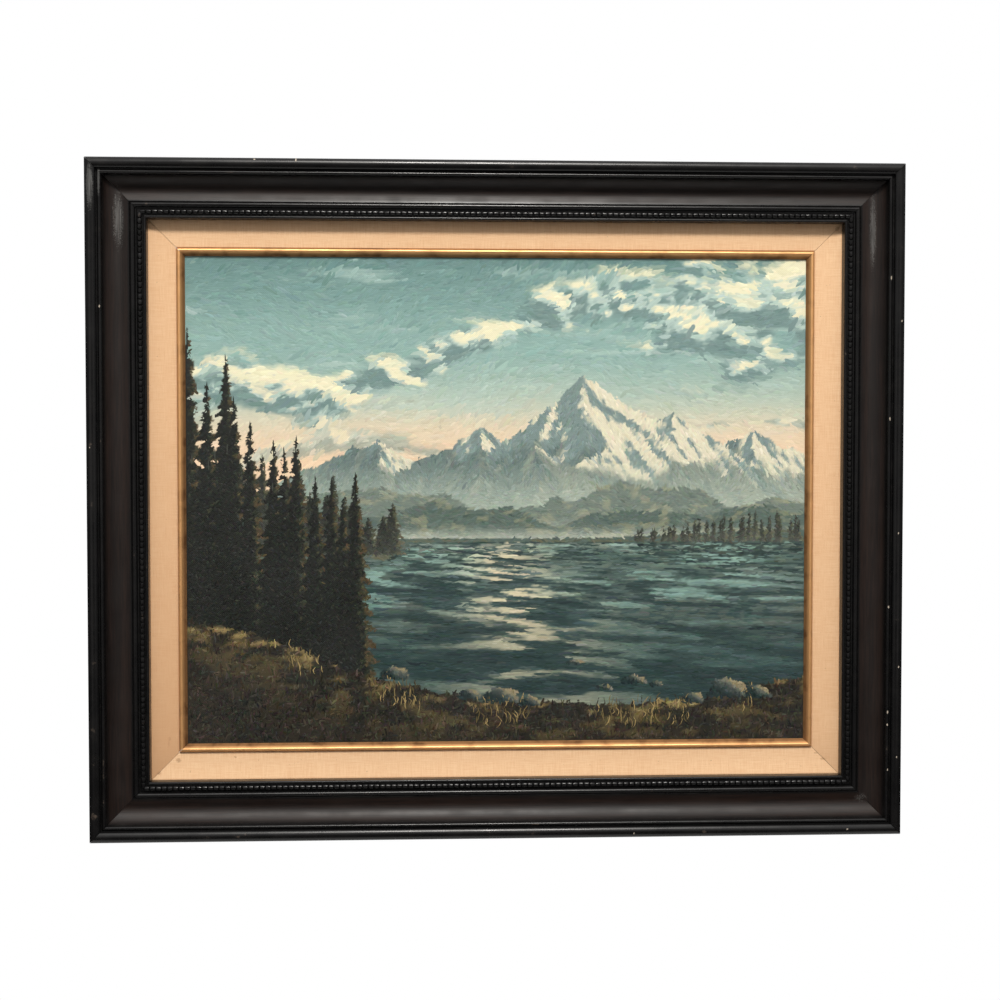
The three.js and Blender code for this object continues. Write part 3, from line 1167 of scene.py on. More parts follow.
@dataclass
class Run:
    """A section that runs round the frame in four mitred rails. Sizes in millimetres.

    Attributes:
        layout: Where the frame stands.
        mitre: Shortening of each mitred end.
        stations: How many rings of corners stand along a rail.
    """

    layout: Layout
    mitre: float = 0.3 / math.sqrt(2)
    stations: int = 8

    def section(self) -> Section:
        """The section, from its outer edge's back round to its inner edge's."""
        raise NotImplementedError

    def rail(self, side: Side, name: str) -> Mesh:
        """Makes a side's rail along X, facing -Y, with its outer edge at +Z.

        Args:
            side: The side.
            name: What the rail is part of.

        Returns:
            The closed mesh.
        """
        length, reach = self.layout.run(side)
        stations = self.stations
        rows = np.array(self.section().corners, dtype=float)
        inset, rise = rows[:, 0] * MM, rows[:, 1] * MM
        count = len(rows)
        x = np.linspace(-1.0, 1.0, stations)[:, None] * (length / 2 - inset - self.mitre * MM)
        depth, up = np.broadcast_to(-rise, x.shape), np.broadcast_to(reach - inset, x.shape)
        rings = [range(ring * count, (ring + 1) * count) for ring in range(stations)]
        faces: list[Sequence[int]] = []
        for a, b in zip(rings, rings[1:]):
            faces += [(a[i], a[i + 1 - count], b[i + 1 - count], b[i]) for i in range(count)]
        faces += [rings[0][::-1], rings[-1]]
        values = {
            label: np.tile(rows[:, 2 + column], stations)
            for column, label in enumerate(("crown", "hollow", "walnut"))
        }
        vertices = np.stack([x, depth, up], axis=-1).reshape(-1, 3)
        mesh = mesh_from(f"{side.label}_{name}", vertices, faces, values)
        girth = np.append(0.0, np.cumsum(np.hypot(np.diff(inset), np.diff(rise))))
        unwrap(mesh, "Run", np.stack([x, np.broadcast_to(girth, x.shape)], axis=-1).reshape(-1, 2))
        turn_outwards(mesh)
        shade(mesh)
        return mesh


# The ebonised moulding --------


@dataclass
class Moulding(Run):
    """Four mitred rails of ebonised cove and bead moulding. Sizes in millimetres.

    Attributes:
        stations: How many rings of corners stand along a rail.
        width: Outer edge to sight edge.
        outer_bead: The big round on the outer edge.
        ridge: The narrow round before the cove.
        astragal: The round between the cove and the beading.
        sight_lip: The round at the sight edge.
        quirk: Start, end and rise of the hollow between outer bead and ridge.
        cove_brim: Rise where the cove ends.
        cove_slopes: Insets across the cove, each with the slope of its surface there in degrees.
        cove_quirk: Inset and rise of the hollow after the cove.
        groove: Start, end and rise of the hollow before the beading.
        bed: Start, end and rise of the beading's bed.
        lip_groove: Start, end and rise of the hollow after the beading.
        rebate: Inset and rise of the rebate.
        pearl_pitch: Distance from pearl to pearl.
        pearl: Length, width and height of a pearl above its bed.
        pearl_sunk: Thickness of a whole pearl over its height above the bed.
        pearl_end: Gap from the last pearl's middle to the mitre, over its length.
        fullness: Power that fills a pearl out from a ball, 1, towards a short bar, 0.
        pocket: Length, height and depth of a hanger's pocket.
    """

    stations: int = 12
    width: float = 63.5
    outer_bead: Round = Round(6.1, 7.3, 59.5)
    ridge: Round = Round(15.5, 2.1, 55.6)
    astragal: Round = Round(48.4, 3.0, 40.9)
    sight_lip: Round = Round(61.85, 1.65, 40.1)
    quirk: Triple = (11.4, 12.6, 52.4)
    cove_brim: float = 39.3
    cove_slopes: tuple[Pair, ...] = (
        (17.7, 66.0),
        (22.0, 43.0),
        (26.0, 32.0),
        (30.0, 20.0),
        (34.0, 4.0),
        (37.0, -9.0),
        (40.0, -13.0),
        (44.8, -14.0),
    )
    cove_quirk: Pair = (45.4, 38.7)
    groove: Triple = (51.6, 52.6, 37.1)
    bed: Triple = (53.6, 59.2, 39.0)
    lip_groove: Triple = (59.4, 60.0, 38.3)
    rebate: Pair = (57.0, 26.9)
    pearl_pitch: float = 6.4
    pearl: Triple = (6.5, 5.9, 2.8)
    pearl_sunk: float = 2.2
    pearl_end: float = 0.6
    fullness: float = 0.55
    pocket: Triple = (66.0, 15.0, 4.0)

    def section(self) -> Section:
        """The moulding's section.

        Returns:
            The section, from the outer edge's back round to the rebate's.
        """
        made = Section()
        made.corner(0.0, 0.0)
        made.corner(0.0, 20.0)
        made.over(self.outer_bead, 0.0, self.quirk[0] - 0.1, 20)
        made.floor(self.quirk)
        reach = self.ridge.radius
        made.over(self.ridge, self.ridge.centre - reach, self.ridge.centre + reach, 10)
        self._add_cove(made)
        made.corner(self.cove_quirk[0], self.cove_quirk[1], hollow=1.0)
        reach = self.astragal.radius
        made.over(self.astragal, self.astragal.centre - 0.9 * reach, self.astragal.centre + reach, 12)
        made.floor(self.groove)
        made.corner(self.bed[0], self.bed[2] - 0.3, hollow=0.9)
        made.corner(self.bed[0] + 0.4, self.bed[2], hollow=0.8)
        made.corner(self.bed[1] - 0.4, self.bed[2], hollow=0.8)
        made.floor(self.lip_groove)
        made.over(self.sight_lip, self.sight_lip.centre - 1.55, self.width, 8)
        made.corner(self.width, self.rebate[1], hollow=0.5)
        made.corner(self.rebate[0], self.rebate[1])
        made.corner(self.rebate[0], 0.0)
        return made

    def _add_cove(self, made: Section) -> None:
        """Adds the cove's corners, walnut brown between its two black edges.

        Args:
            made: The section to add to.
        """
        insets, slopes = np.array(self.cove_slopes).T
        fine = np.linspace(insets[0], insets[-1], 34)
        fall = np.tan(np.radians(np.interp(fine, insets, slopes)))
        steps = np.diff(fine) * (fall[1:] + fall[:-1]) / 2
        rises = self.cove_brim + np.append(np.cumsum(steps[::-1])[::-1], 0.0)
        for inset, rise in zip(fine, rises):
            edge = min(inset - insets[0], insets[-1] - inset)
            made.corner(inset, rise, hollow=max(0.0, 0.6 - 0.3 * edge), walnut=min(1.0, 0.35 * edge))

    def beading_tree(self) -> Graph:
        """The geometry tree that sets a row of pearls on a rail, with its sizes in metres as inputs.

        Returns:
            The tree's graph.
        """
        graph, given = geometry_tree(
            "Pearl beading",
            Count="Int",
            Pitch="Float",
            Pearl="Vector",
            Middle="Vector",
            Seed="Int",
            Material="Material",
        )
        gaps = graph.minus(given["Count"], 1.0)
        first = graph.xyz(graph.times(graph.times(given["Pitch"], gaps), -0.5))
        row = graph.out(
            "GeometryNodeMeshLine",
            Count=given["Count"],
            Start_Location=graph.vector("ADD", given["Middle"], first),
            Offset=graph.xyz(given["Pitch"]),
        )
        scale = self._uneven(graph, given["Seed"], (0.955, 0.96, 0.9), (1.015, 1.03, 1.06))
        tilt = self._uneven(graph, given["Seed"], (-0.08, -0.1, -0.08), (0.08, 0.1, 0.08))
        pearls = graph.out(
            "GeometryNodeInstanceOnPoints",
            Points=row,
            Instance=self._pearl(graph),
            Rotation=tilt,
            Scale=graph.vector("MULTIPLY", given["Pearl"], scale),
        )
        joined = graph.add("GeometryNodeJoinGeometry")
        for part in (given["Geometry"], graph.out("GeometryNodeRealizeInstances", Geometry=pearls)):
            graph.feed(joined.inputs[0], part)
        close_tree(graph, joined.outputs[0], given["Material"])
        return graph

    @staticmethod
    def _uneven(graph: Graph, seed: Value, least: Colour, most: Colour) -> Value:
        """A random vector between two."""
        node = graph.indexed("FunctionNodeRandomValue", {"data_type": "FLOAT_VECTOR"}, {0: least, 1: most})
        return graph.fill(node, Seed=seed).outputs[0]

    def _pearl(self, graph: Graph) -> Value:
        """Adds a pearl one unit long, wide and high: a barrel along X with crisp shoulders.

        Args:
            graph: The geometry graph.

        Returns:
            The pearl, with how raised and how sunk its surface is.
        """
        ball = graph.out("GeometryNodeMeshUVSphere", Segments=10, Rings=6, Radius=0.5)
        turned = graph.out("GeometryNodeTransform", Geometry=ball, Rotation=(0.0, math.pi / 2, 0.0))
        along, deep, across = graph.parts(graph.out("GeometryNodeInputPosition"))
        round_share = graph.times(graph.length(graph.xyz(0.0, deep, across)), 2.0)
        swell = graph.maths("POWER", graph.maths("MAXIMUM", round_share, 0.01), self.fullness - 1.0)
        reached = graph.maths("POWER", graph.maths("ABSOLUTE", graph.times(along, 2.0)), self.fullness)
        end = graph.times(graph.maths("SIGN", along), graph.times(reached, 0.5))
        full = graph.xyz(end, graph.times(deep, swell), graph.times(across, swell))
        barrel = graph.out("GeometryNodeSetPosition", Geometry=turned, Position=full)
        smooth = graph.out("GeometryNodeSetShadeSmooth", Geometry=barrel)
        ends = graph.add("GeometryNodeInputMeshEdgeVertices").outputs
        first_end, other_end = (graph.parts(ends[f"Position {number}"])[0] for number in (1, 2))
        level = graph.band(graph.maths("ABSOLUTE", graph.minus(first_end, other_end)), 0.002, 0.001)
        from_shoulder = graph.maths("ABSOLUTE", graph.minus(graph.maths("ABSOLUTE", first_end), 0.34))
        crisp = graph.maths("GREATER_THAN", graph.times(level, graph.band(from_shoulder, 0.06, 0.05)), 0.5)
        edges = {"Selection": crisp, "Shade_Smooth": False}
        stored = graph.out("GeometryNodeSetShadeSmooth", {"domain": "EDGE"}, Geometry=smooth, **edges)
        front = graph.times(deep, -2.0)
        for name, value in (("crown", graph.band(front, 0.3, 1.0)), ("hollow", graph.band(front, 0.65, 0.1))):
            settings = {"data_type": "FLOAT", "domain": "POINT"}
            stored = graph.out(
                "GeometryNodeStoreNamedAttribute", settings, Geometry=stored, Name=name, Value=value
            )
        return stored

    def _pocketed(self, rail: Mesh) -> Mesh:
        """Cuts a shallow pocket for each hanger from the top rail's back.

        Args:
            rail: The top rail before it is put in place.

        Returns:
            The rail with its pockets.
        """
        place = self.layout.placed(Side.TOP).inverted()
        along, up, depth = (size * MM for size in self.pocket)
        tool = bmesh.new()
        for name in HANGERS:
            low, high = (Vector(corner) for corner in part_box(name))
            seat = place @ ((low + high) / 2)
            size = Matrix.Diagonal((along, 2 * depth, up, 1.0))
            bmesh.ops.create_cube(tool, size=1.0, matrix=Matrix.Translation((seat.x, 0.0, seat.z)) @ size)
        cutter = linked("pockets", bpy.data.meshes.new("pockets"))
        tool.to_mesh(cutter.data)
        tool.free()
        holder = linked("pocketed", rail)
        cut = holder.modifiers.new("Pockets", "BOOLEAN")
        cut.object, cut.operation, cut.solver = cutter, "DIFFERENCE", "EXACT"
        result = evaluated(holder)
        bpy.data.objects.remove(cutter)
        shade(result)
        return result

    def build(self, wood: Material, backing: Material) -> None:
        """Builds the four rails with their beading, ebonised in front and bare wood behind.

        Args:
            wood: The ebonised finish.
            backing: The finish of the wooden back.
        """
        graph = self.beading_tree()
        pearl_length, pearl_width, pearl_height = (size * MM for size in self.pearl)
        thickness = self.pearl_sunk * pearl_height
        inset = (self.bed[0] + self.bed[1]) / 2 * MM
        rise = self.bed[2] * MM + pearl_height - thickness / 2
        for seed, side in enumerate(Side):
            length, reach = self.layout.run(side)
            rail = self.rail(side, "moulding")
            if side is Side.TOP:
                rail = self._pocketed(rail)
            span = length - 2 * (inset + self.pearl_end * pearl_length)
            gaps = round(span / (self.pearl_pitch * MM))
            beading = {
                "Count": gaps + 1,
                "Pitch": span / gaps,
                "Pearl": (pearl_length, thickness, pearl_width),
                "Middle": (0.0, -rise, reach - inset),
                "Seed": seed,
                "Material": wood,
            }
            beaded = grown(f"{side.label}_beaded", rail, graph, beading)
            made = piece(f"{side.label}_moulding", beaded, [wood, backing], self.layout.placed(side))
            behind = -(self.pocket[2] + 0.1) * MM
            for face in made.data.polygons:
                face.material_index = int(face.center.y > behind and face.normal.y > 0.9)
            as_part(made, "ebonised_wood", f"{side.label}_rail")


# The liner and the gilt fillet --------


@dataclass
class Liner(Run):
    """Four mitred liner rails wrapped in linen. Sizes in millimetres.

    Attributes:
        outer: Inset of the outer edge.
        lip: Inset where the moulding's lip ends.
        back: Rise of the back.
        rim: Rise of the face at the lip.
        hollow: Rise of the face at its middle.
        brim: Rise of the face at its inner edge.
        sight: Inset of the inner edge.
        tongue: Inset and rise of the step over the fillet.
        foot_darkening: How far the linen is darkened at the head and foot of a side.
    """

    outer: float = 57.4
    lip: float = 63.5
    back: float = 8.0
    rim: float = 26.6
    hollow: float = 24.5
    brim: float = 23.5
    sight: float = 94.0
    tongue: Pair = (90.7, 21.9)
    foot_darkening: dict[Side, Pair] = field(
        default_factory=lambda: {Side.LEFT: (0.22, 0.8), Side.RIGHT: (0.03, 0.36)}
    )

    def section(self) -> Section:
        """The liner's section.

        Returns:
            The section, from its outer edge's back round to the tongue.
        """
        made = Section()
        made.corner(self.outer, self.back)
        made.corner(self.outer, self.rim, hollow=1.0)
        middle = (self.lip + self.sight) / 2
        face = smooth_line([(self.lip, self.rim), (middle, self.hollow), (self.sight - 1.6, self.brim)], 12)
        # The hollow value here darkens the linen next to the moulding's lip as painted shade.
        for inset, rise in face:
            made.corner(inset, rise, hollow=max(0.0, 1.0 - (inset - self.lip) / 1.6))
        # The fold's hollow value darkens the linen as painted shade where it turns down towards the fillet.
        fold = Round(self.sight - 1.6, 1.6, self.brim)
        made.over(fold, fold.centre + 0.4, fold.centre + 1.5, 5)
        made.corner(self.sight, self.tongue[1] + 0.3, hollow=0.8)
        made.corner(self.sight, self.tongue[1], hollow=1.0)
        made.corner(self.tongue[0], self.tongue[1])
        made.corner(self.tongue[0], self.back)
        return made

    def build(self, linen: Material, wood: Material) -> None:
        """Builds the four liner rails, linen in front and bare wood behind.

        Args:
            linen: The linen finish.
            wood: The finish of the wooden back.
        """
        for side in Side:
            mesh = self.rail(side, "liner")
            made = piece(mesh.name, mesh, [linen, wood], self.layout.placed(side))
            for face in made.data.polygons:
                face.material_index = int(-face.center.y < (self.back + 0.5) * MM)
            self._darken_foot(made.data, side)
            as_part(made, "linen", f"liner_{side.label}")

    def _darken_foot(self, mesh: Mesh, side: Side) -> None:
        """Stores how far a rail's linen is darkened, more towards its foot.

        Args:
            mesh: The rail in its place.
            side: Its side.
        """
        head, foot = self.foot_darkening.get(side, (0.0, 0.0))
        heights = read(mesh.vertices, "co", 3)[:, 2]
        drop = (heights.max() - heights) / (heights.max() - heights.min())
        store(mesh, "darkened_foot", head + (foot - head) * drop**2)


@dataclass
class Fillet(Run):
    """Four mitred lengths of gilt sight fillet. Sizes in millimetres.

    Attributes:
        gap: Clearance to the liner and the canvas.
        tongue: Inset and rise of the liner's step over it.
        crown: Its rounded crown.
        slope: Corners of the slope down to the picture, the last at its sight edge.
    """

    gap: float = 0.3
    tongue: Pair = (90.7, 21.9)
    crown: Round = Round(96.8, 2.5, 27.0)
    slope: tuple[Pair, ...] = ((98.9, 25.86), (100.4, 24.2), (101.8, 22.1), (102.8, 20.6))

    def section(self) -> Section:
        """The fillet's section.

        Returns:
            The section, from its tongue round to its sight edge.
        """
        made = Section()
        floor = self.layout.canvas_face / MM + self.gap
        groove = self.crown.centre - self.crown.radius
        made.corner(self.tongue[0] + self.gap, floor)
        made.corner(self.tongue[0] + self.gap, self.tongue[1] - self.gap)
        made.corner(groove, self.tongue[1] - self.gap, hollow=1.0)
        made.over(self.crown, groove, self.crown.centre + 1.9, 12)
        # Down the slope to the picture the hollow value grows, which the gilt finish turns into painted
        # shade.
        for inset, rise in smooth_line(self.slope, 8):
            made.corner(inset, rise, hollow=min(1.0, max(0.0, (inset - 97.8) / 3.2)))
        made.corner(self.slope[-1][0], floor, hollow=1.0)
        return made

    def build(self, gilt: Material) -> None:
        """Builds the four fillets.

        Args:
            gilt: The gilt finish.
        """
        for side in Side:
            mesh = self.rail(side, "fillet")
            as_part(piece(mesh.name, mesh, [gilt], self.layout.placed(side)), "gilt", f"fillet_{side.label}")


# The picture --------


class Tint(Enum):
    """Colours mixed for the painting, as red, green and blue from 0 to 255."""

    ZENITH = (98, 132, 129)
    SKY = (138, 170, 163)
    HAZE = (190, 200, 182)
    GLOW = (234, 205, 172)
    CLOUD = (176, 198, 189)
    CLOUD_LIGHT = (231, 226, 192)
    CLOUD_WARM = (214, 190, 166)
    CLOUD_SHADE = (112, 138, 135)
    SNOW = (228, 218, 190)
    SNOW_SHADE = (138, 160, 160)
    ROCK = (110, 122, 114)
    ROCK_SHADE = (78, 98, 98)
    WOODS = (66, 84, 78)
    WOODS_LIGHT = (110, 116, 94)
    MIST = (196, 200, 184)
    DEEP = (36, 54, 54)
    LAKE = (70, 98, 94)
    AQUA = (160, 200, 186)
    GLINT = (226, 208, 172)
    PINE = (24, 27, 23)
    NEEDLES = (58, 64, 46)
    BARK = (84, 64, 42)
    EARTH = (42, 38, 30)
    GRASS = (96, 84, 52)
    STRAW = (164, 142, 94)
    STONE = (122, 122, 110)

    @property
    def tone(self) -> Array:
        """The colour as a row of display values from 0 to 1."""
        return np.array(self.value) / 255.0


def scatter(column: Array, row: Array, seed: int) -> Array:
    """Random values from 0 to 1 that stay the same for each cell of a grid.

    Args:
        column: Cells across.
        row: Cells up.
        seed: Its seed.

    Returns:
        The values.
    """
    whole = 0xFFFFFFFF
    mixed = column.astype(np.int64) * 374761393 + row.astype(np.int64) * 668265263 + seed * 1442695041
    mixed &= whole
    mixed = ((mixed ^ (mixed >> 13)) * 1274126177) & whole
    return ((mixed ^ (mixed >> 16)) & whole) / whole


def clouded(x: Array, z: Array, seed: int, octaves: int = 4) -> Array:
    """Soft noise from 0 to 1 around a half, one feature to a unit.

    Args:
        x: Places across.
        z: Places up.
        seed: Its seed.
        octaves: Layers of finer and finer noise.

    Returns:
        The noise.
    """
    total, weight, weights = np.zeros(np.broadcast(x, z).shape), 1.0, 0.0
    for octave in range(octaves):
        column, row = np.floor(x), np.floor(z)
        across, up = (t * t * (3 - 2 * t) for t in (x - column, z - row))
        corners = [scatter(column + i, row + j, seed + octave) for j in (0, 1) for i in (0, 1)]
        low = corners[0] + (corners[1] - corners[0]) * across
        high = corners[2] + (corners[3] - corners[2]) * across
        total += weight * (low + (high - low) * up)
        weights += weight
        weight *= 0.52
        x, z = 1.9 * x + 0.7 * z + 3.7, 1.9 * z - 0.7 * x + 1.3
    return total / weights


def ramp(values: Array, start: float, end: float) -> Array:
    """Smooth step from 0 at start to 1 at end, either of which may be the larger."""
    t = np.clip((values - start) / (end - start), 0.0, 1.0)
    return t * t * (3 - 2 * t)


def over(under: Tint | Array, top: Tint | Array, share: Array | float) -> Array:
    """Lays one colour, or rows of them, over another by a share from 0 to 1."""
    under, top = (tint.tone if isinstance(tint, Tint) else tint for tint in (under, top))
    return under + (top - under) * np.asarray(share)[..., None]


@dataclass(frozen=True)
class Peak:
    """One mountain of the range.

    Attributes:
        x: Place of its summit across.
        top: Height of its summit.
        left: Steepness of its left side.
        right: Steepness of its right side.
        snow: Height of its snow line.
    """

    x: float
    top: float
    left: float
    right: float
    snow: float


@dataclass(frozen=True)
class Conifer:
    """One conifer.

    Attributes:
        x: Place of its trunk across.
        foot: Height of its foot.
        top: Height of its tip.
        spread: Half its width at the foot.
        near: How near it stands, from 0 to 1, which darkens it.
    """

    x: float
    foot: float
    top: float
    spread: float
    near: float


class Ground(Enum):
    """What a place of the painting shows, with the brush used for it.

    Each member holds a number, the stroke's length and width, how much its colour varies, and how much the
    size of the strokes follows the pass that they are laid in.
    """

    SKY = (0, 11.0, 3.6, 0.017, 1.0)
    RANGE = (1, 6.2, 2.2, 0.026, 0.8)
    LAKE = (2, 10.5, 1.9, 0.026, 0.9)
    TREES = (3, 4.4, 1.5, 0.034, 0.5)
    BANK = (4, 6.2, 1.7, 0.045, 0.8)
    STONE = (5, 4.2, 2.0, 0.030, 0.5)

    @property
    def number(self) -> int:
        """The ground's number in a row of grounds."""
        return self.value[0]


@dataclass(frozen=True)
class Landscape:
    """A mountain lake at dusk, in millimetres from the lower left corner of what shows of it.

    Attributes:
        width: What shows of it across.
        height: What shows of it up.
        shore: Height of the far shore.
        seed: Seed of everything random in it.
        peaks: The mountains, from the far ones to the near ones.
    """

    width: float = 699.0
    height: float = 546.0
    shore: float = 226.0
    seed: int = 11
    peaks: tuple[Peak, ...] = (
        Peak(214, 338, 0.42, 0.40, 318),
        Peak(640, 352, 0.50, 0.55, 318),
        Peak(330, 356, 0.62, 0.50, 322),
        Peak(548, 372, 0.55, 0.62, 325),
        Peak(446, 414, 0.80, 0.66, 318),
        Peak(392, 336, 0.60, 0.62, 330),
    )

    @staticmethod
    def bank_edge(x: Array) -> Array:
        """Height of the near bank's edge."""
        rough = 16 * (clouded(x / 60, x * 0, 161, 3) - 0.5)
        return 44 + 92 * ramp(x, 350, -10) + 26 * ramp(x, 520, 720) + rough

    def conifers(self) -> list[Conifer]:
        """The trees, from the far ones to the near ones.

        Returns:
            The trees.
        """
        draw = np.random.default_rng(self.seed)
        trees = []
        for x in np.arange(508.0, 706.0, 7.2):
            tall = 14 + 20 * ramp(np.array(x), 500, 650) * draw.uniform(0.5, 1.1)
            trees.append(Conifer(x + draw.uniform(-3, 3), self.shore - 3, self.shore + tall, 4.2, 0.35))
        for x in np.arange(-4.0, 236.0, 13.0):
            tall = 118 - 0.36 * x + draw.uniform(-20, 18)
            trees.append(Conifer(x + draw.uniform(-4, 4), self.shore - 14, self.shore + tall, 15, 0.55))
        for x in np.arange(-10.0, 196.0, 17.0):
            tall = 232 - 0.86 * x + draw.uniform(-44, 16)
            x += draw.uniform(-7, 7)
            foot = float(self.bank_edge(np.array(x))) - draw.uniform(4, 16)
            trees.append(Conifer(x, foot, self.shore + tall, 0.088 * (self.shore + tall - foot) + 5, 1.0))
        return trees

    def sky(self, x: Array, z: Array) -> Array:
        """Colours of the sky with its bank of clouds.

        Args:
            x: Places across.
            z: Places up.

        Returns:
            The colours.
        """
        drift = z + 16 * (clouded(x / 130, z / 60, 3) - 0.5)
        colour = over(Tint.GLOW, Tint.HAZE, ramp(drift, 318, 400))
        colour = over(colour, Tint.SKY, ramp(drift, 352, 450))
        colour = over(colour, Tint.ZENITH, ramp(drift, 440, 560))
        colour = over(colour, Tint.GLOW, 0.5 * ramp(np.hypot((x - 300) / 1.5, drift - 268), 130, 10))
        for middle, rise, deep, reach, seed in ((380, 0.19, 58, 1.0, 21), (304, 0.05, 17, 0.55, 37)):
            line = middle + rise * x + 22 * np.sin(x / 74 + seed)
            thick = deep * (0.75 + 0.35 * np.sin(x / 118 + seed)) * (0.72 + 0.5 * x / self.width)
            billows = [clouded((x + lean) / 52, (z + lean * 1.5) / 33, seed, 5) for lean in (0.0, 7.0)]
            body = 1.0 - np.abs(z - line - 5) / thick + 2.7 * (billows[0] - 0.5)
            relief = billows[0] - billows[1]
            share = ramp(body, 0.02, 0.62) * reach
            lit = ramp(relief + 0.0016 * (z - line), -0.09, 0.15)
            puff = over(Tint.CLOUD_SHADE, Tint.CLOUD, ramp(lit, 0.0, 0.45))
            puff = over(puff, Tint.CLOUD_WARM, 0.7 * ramp(lit, 0.35, 0.7) * ramp(z, 480, 330))
            puff = over(puff, Tint.CLOUD_LIGHT, ramp(lit, 0.52, 0.92))
            colour = over(colour, puff, share)
        wisps = ramp(clouded(x / 90 + z / 60, z / 9, 51), 0.56, 0.8) * ramp(z, 300, 430)
        return over(colour, Tint.CLOUD, 0.55 * wisps)

    def mountains(self, x: Array, z: Array, colour: Array) -> tuple[Array, Array]:
        """Lays the range and its wooded foothills over the sky.

        Args:
            x: Places across.
            z: Places up.
            colour: Colours of the sky.

        Returns:
            The colours, and whether each place is on the range.
        """
        held = np.zeros(len(x), dtype=bool)
        for number, peak in enumerate(self.peaks):
            side, drop = x - peak.x, peak.top - z
            crags = 34 * (clouded(x / 46, x * 0 + number, 61) - 0.5)
            crags += 9 * (clouded(x / 8, x * 0, 71 + number, 3) - 0.5)
            slope = np.where(side < 0, -side * peak.left, side * peak.right)
            inside = z < peak.top - slope + crags * ramp(np.abs(side), 0, 34)
            bend = (clouded(z / 26, z * 0 + number, 81, 3) - 0.5) * 1.1 * drop + 0.12 * drop
            fall = np.where(side > bend, 1.0, -1.0)
            flank = x - fall * 0.55 * drop
            ribs = [clouded((flank + lean) / 15, (z + lean) / 30, 91 + number, 4) for lean in (0, 5)]
            lit = ramp(0.15 * fall + 1.6 * (ribs[1] - ribs[0]), -0.16, 0.20)
            cover = ramp(z + 70 * (ribs[0] - 0.5) + 10 * fall, peak.snow - 9, peak.snow + 7)
            rock = over(Tint.ROCK_SHADE, Tint.ROCK, lit)
            snow = over(Tint.SNOW_SHADE, Tint.SNOW, ramp(lit, 0.25, 0.8))
            face = over(rock, snow, cover * (0.45 + 0.55 * lit))
            face = over(face, Tint.HAZE, 0.18 + 0.5 * ramp(z, 330, 262))
            colour = np.where(inside[:, None], face, colour)
            held |= inside
        for foot, rise, seed, near in ((278, 26, 101, 0.45), (258, 20, 111, 0.75)):
            crest = foot + rise * (clouded(x / 70, x * 0, seed, 3) - 0.5) * 2
            crest += 5 * (clouded(x / 5, x * 0, seed + 5, 2) - 0.5)
            inside = z < crest
            woods = over(Tint.WOODS, Tint.WOODS_LIGHT, ramp(clouded(x / 11, z / 7, seed), 0.48, 0.72))
            low_mist = 0.75 * ramp(z, self.shore + 26 * (1.6 - near), self.shore - 2)
            woods = over(woods, Tint.MIST, (1 - near) * 0.62 + low_mist)
            colour = np.where(inside[:, None], woods, colour)
            held |= inside
        bank = z < self.shore + 3 + 3 * clouded(x / 26, x * 0, 121, 3) + 9 * ramp(x, 470, 660)
        land = over(Tint.WOODS, Tint.GRASS, 0.6 * ramp(clouded(x / 14, z / 2.5, 123), 0.4, 0.7))
        return np.where(bank[:, None], over(land, Tint.MIST, 0.12), colour), held | bank

    def above(self, x: Array, z: Array, near: float = 0.6) -> tuple[Array, Array]:
        """Colours of everything above the far shore.

        Args:
            x: Places across.
            z: Places up.
            near: How near the trees may stand to be shown, from 0 to 1.

        Returns:
            The colours, and the number of the ground of each place.
        """
        colour, held = self.mountains(x, z, self.sky(x, z))
        ground = np.where(held, Ground.RANGE.number, Ground.SKY.number)
        return self.wooded(x, z, colour, ground, 0.0, near)

    def wooded(
        self, x: Array, z: Array, colour: Array, ground: Array, least: float, most: float
    ) -> tuple[Array, Array]:
        """Lays the trees between two distances over the colours.

        Args:
            x: Places across.
            z: Places up.
            colour: Colours under the trees.
            ground: Number of the ground of each place.
            least: How near the farthest of them stand.
            most: How near the nearest of them stand.

        Returns:
            The colours and the grounds.
        """
        speckle = clouded(x / 3.4, z / 4.2, 131, 3)
        for number, tree in enumerate(self.conifers()):
            if not least < tree.near <= most:
                continue
            drop, tall = tree.top - z, tree.top - tree.foot
            tiers = (drop / (0.07 * tall + 2.2) + 0.35 * np.sin(number * 1.7 + np.sign(x - tree.x))) % 1.0
            half = tree.spread * np.clip(drop / tall, 0, 1) ** 0.8 * (0.5 + 0.62 * tiers) + 0.5
            side = (x - tree.x) / half + 0.5 * (speckle - 0.5)
            inside = (np.abs(side) < 1.0) & (drop > 0) & (z > tree.foot)
            lit = ramp(side + 1.1 * (speckle - 0.5) + 0.5 * (tiers - 0.5), 0.15, 1.0)
            needles = over(Tint.PINE, Tint.NEEDLES, lit)
            needles = over(needles, Tint.BARK, 0.65 * ramp(lit, 0.6, 1.0) * tree.near)
            far = 1 - tree.near
            needles = over(needles, Tint.MIST, far * 0.42 * ramp(drop / tall, -0.2, 1.2) + far * 0.1)
            colour = np.where(inside[:, None], needles, colour)
            ground = np.where(inside, Ground.TREES.number, ground)
        return colour, ground

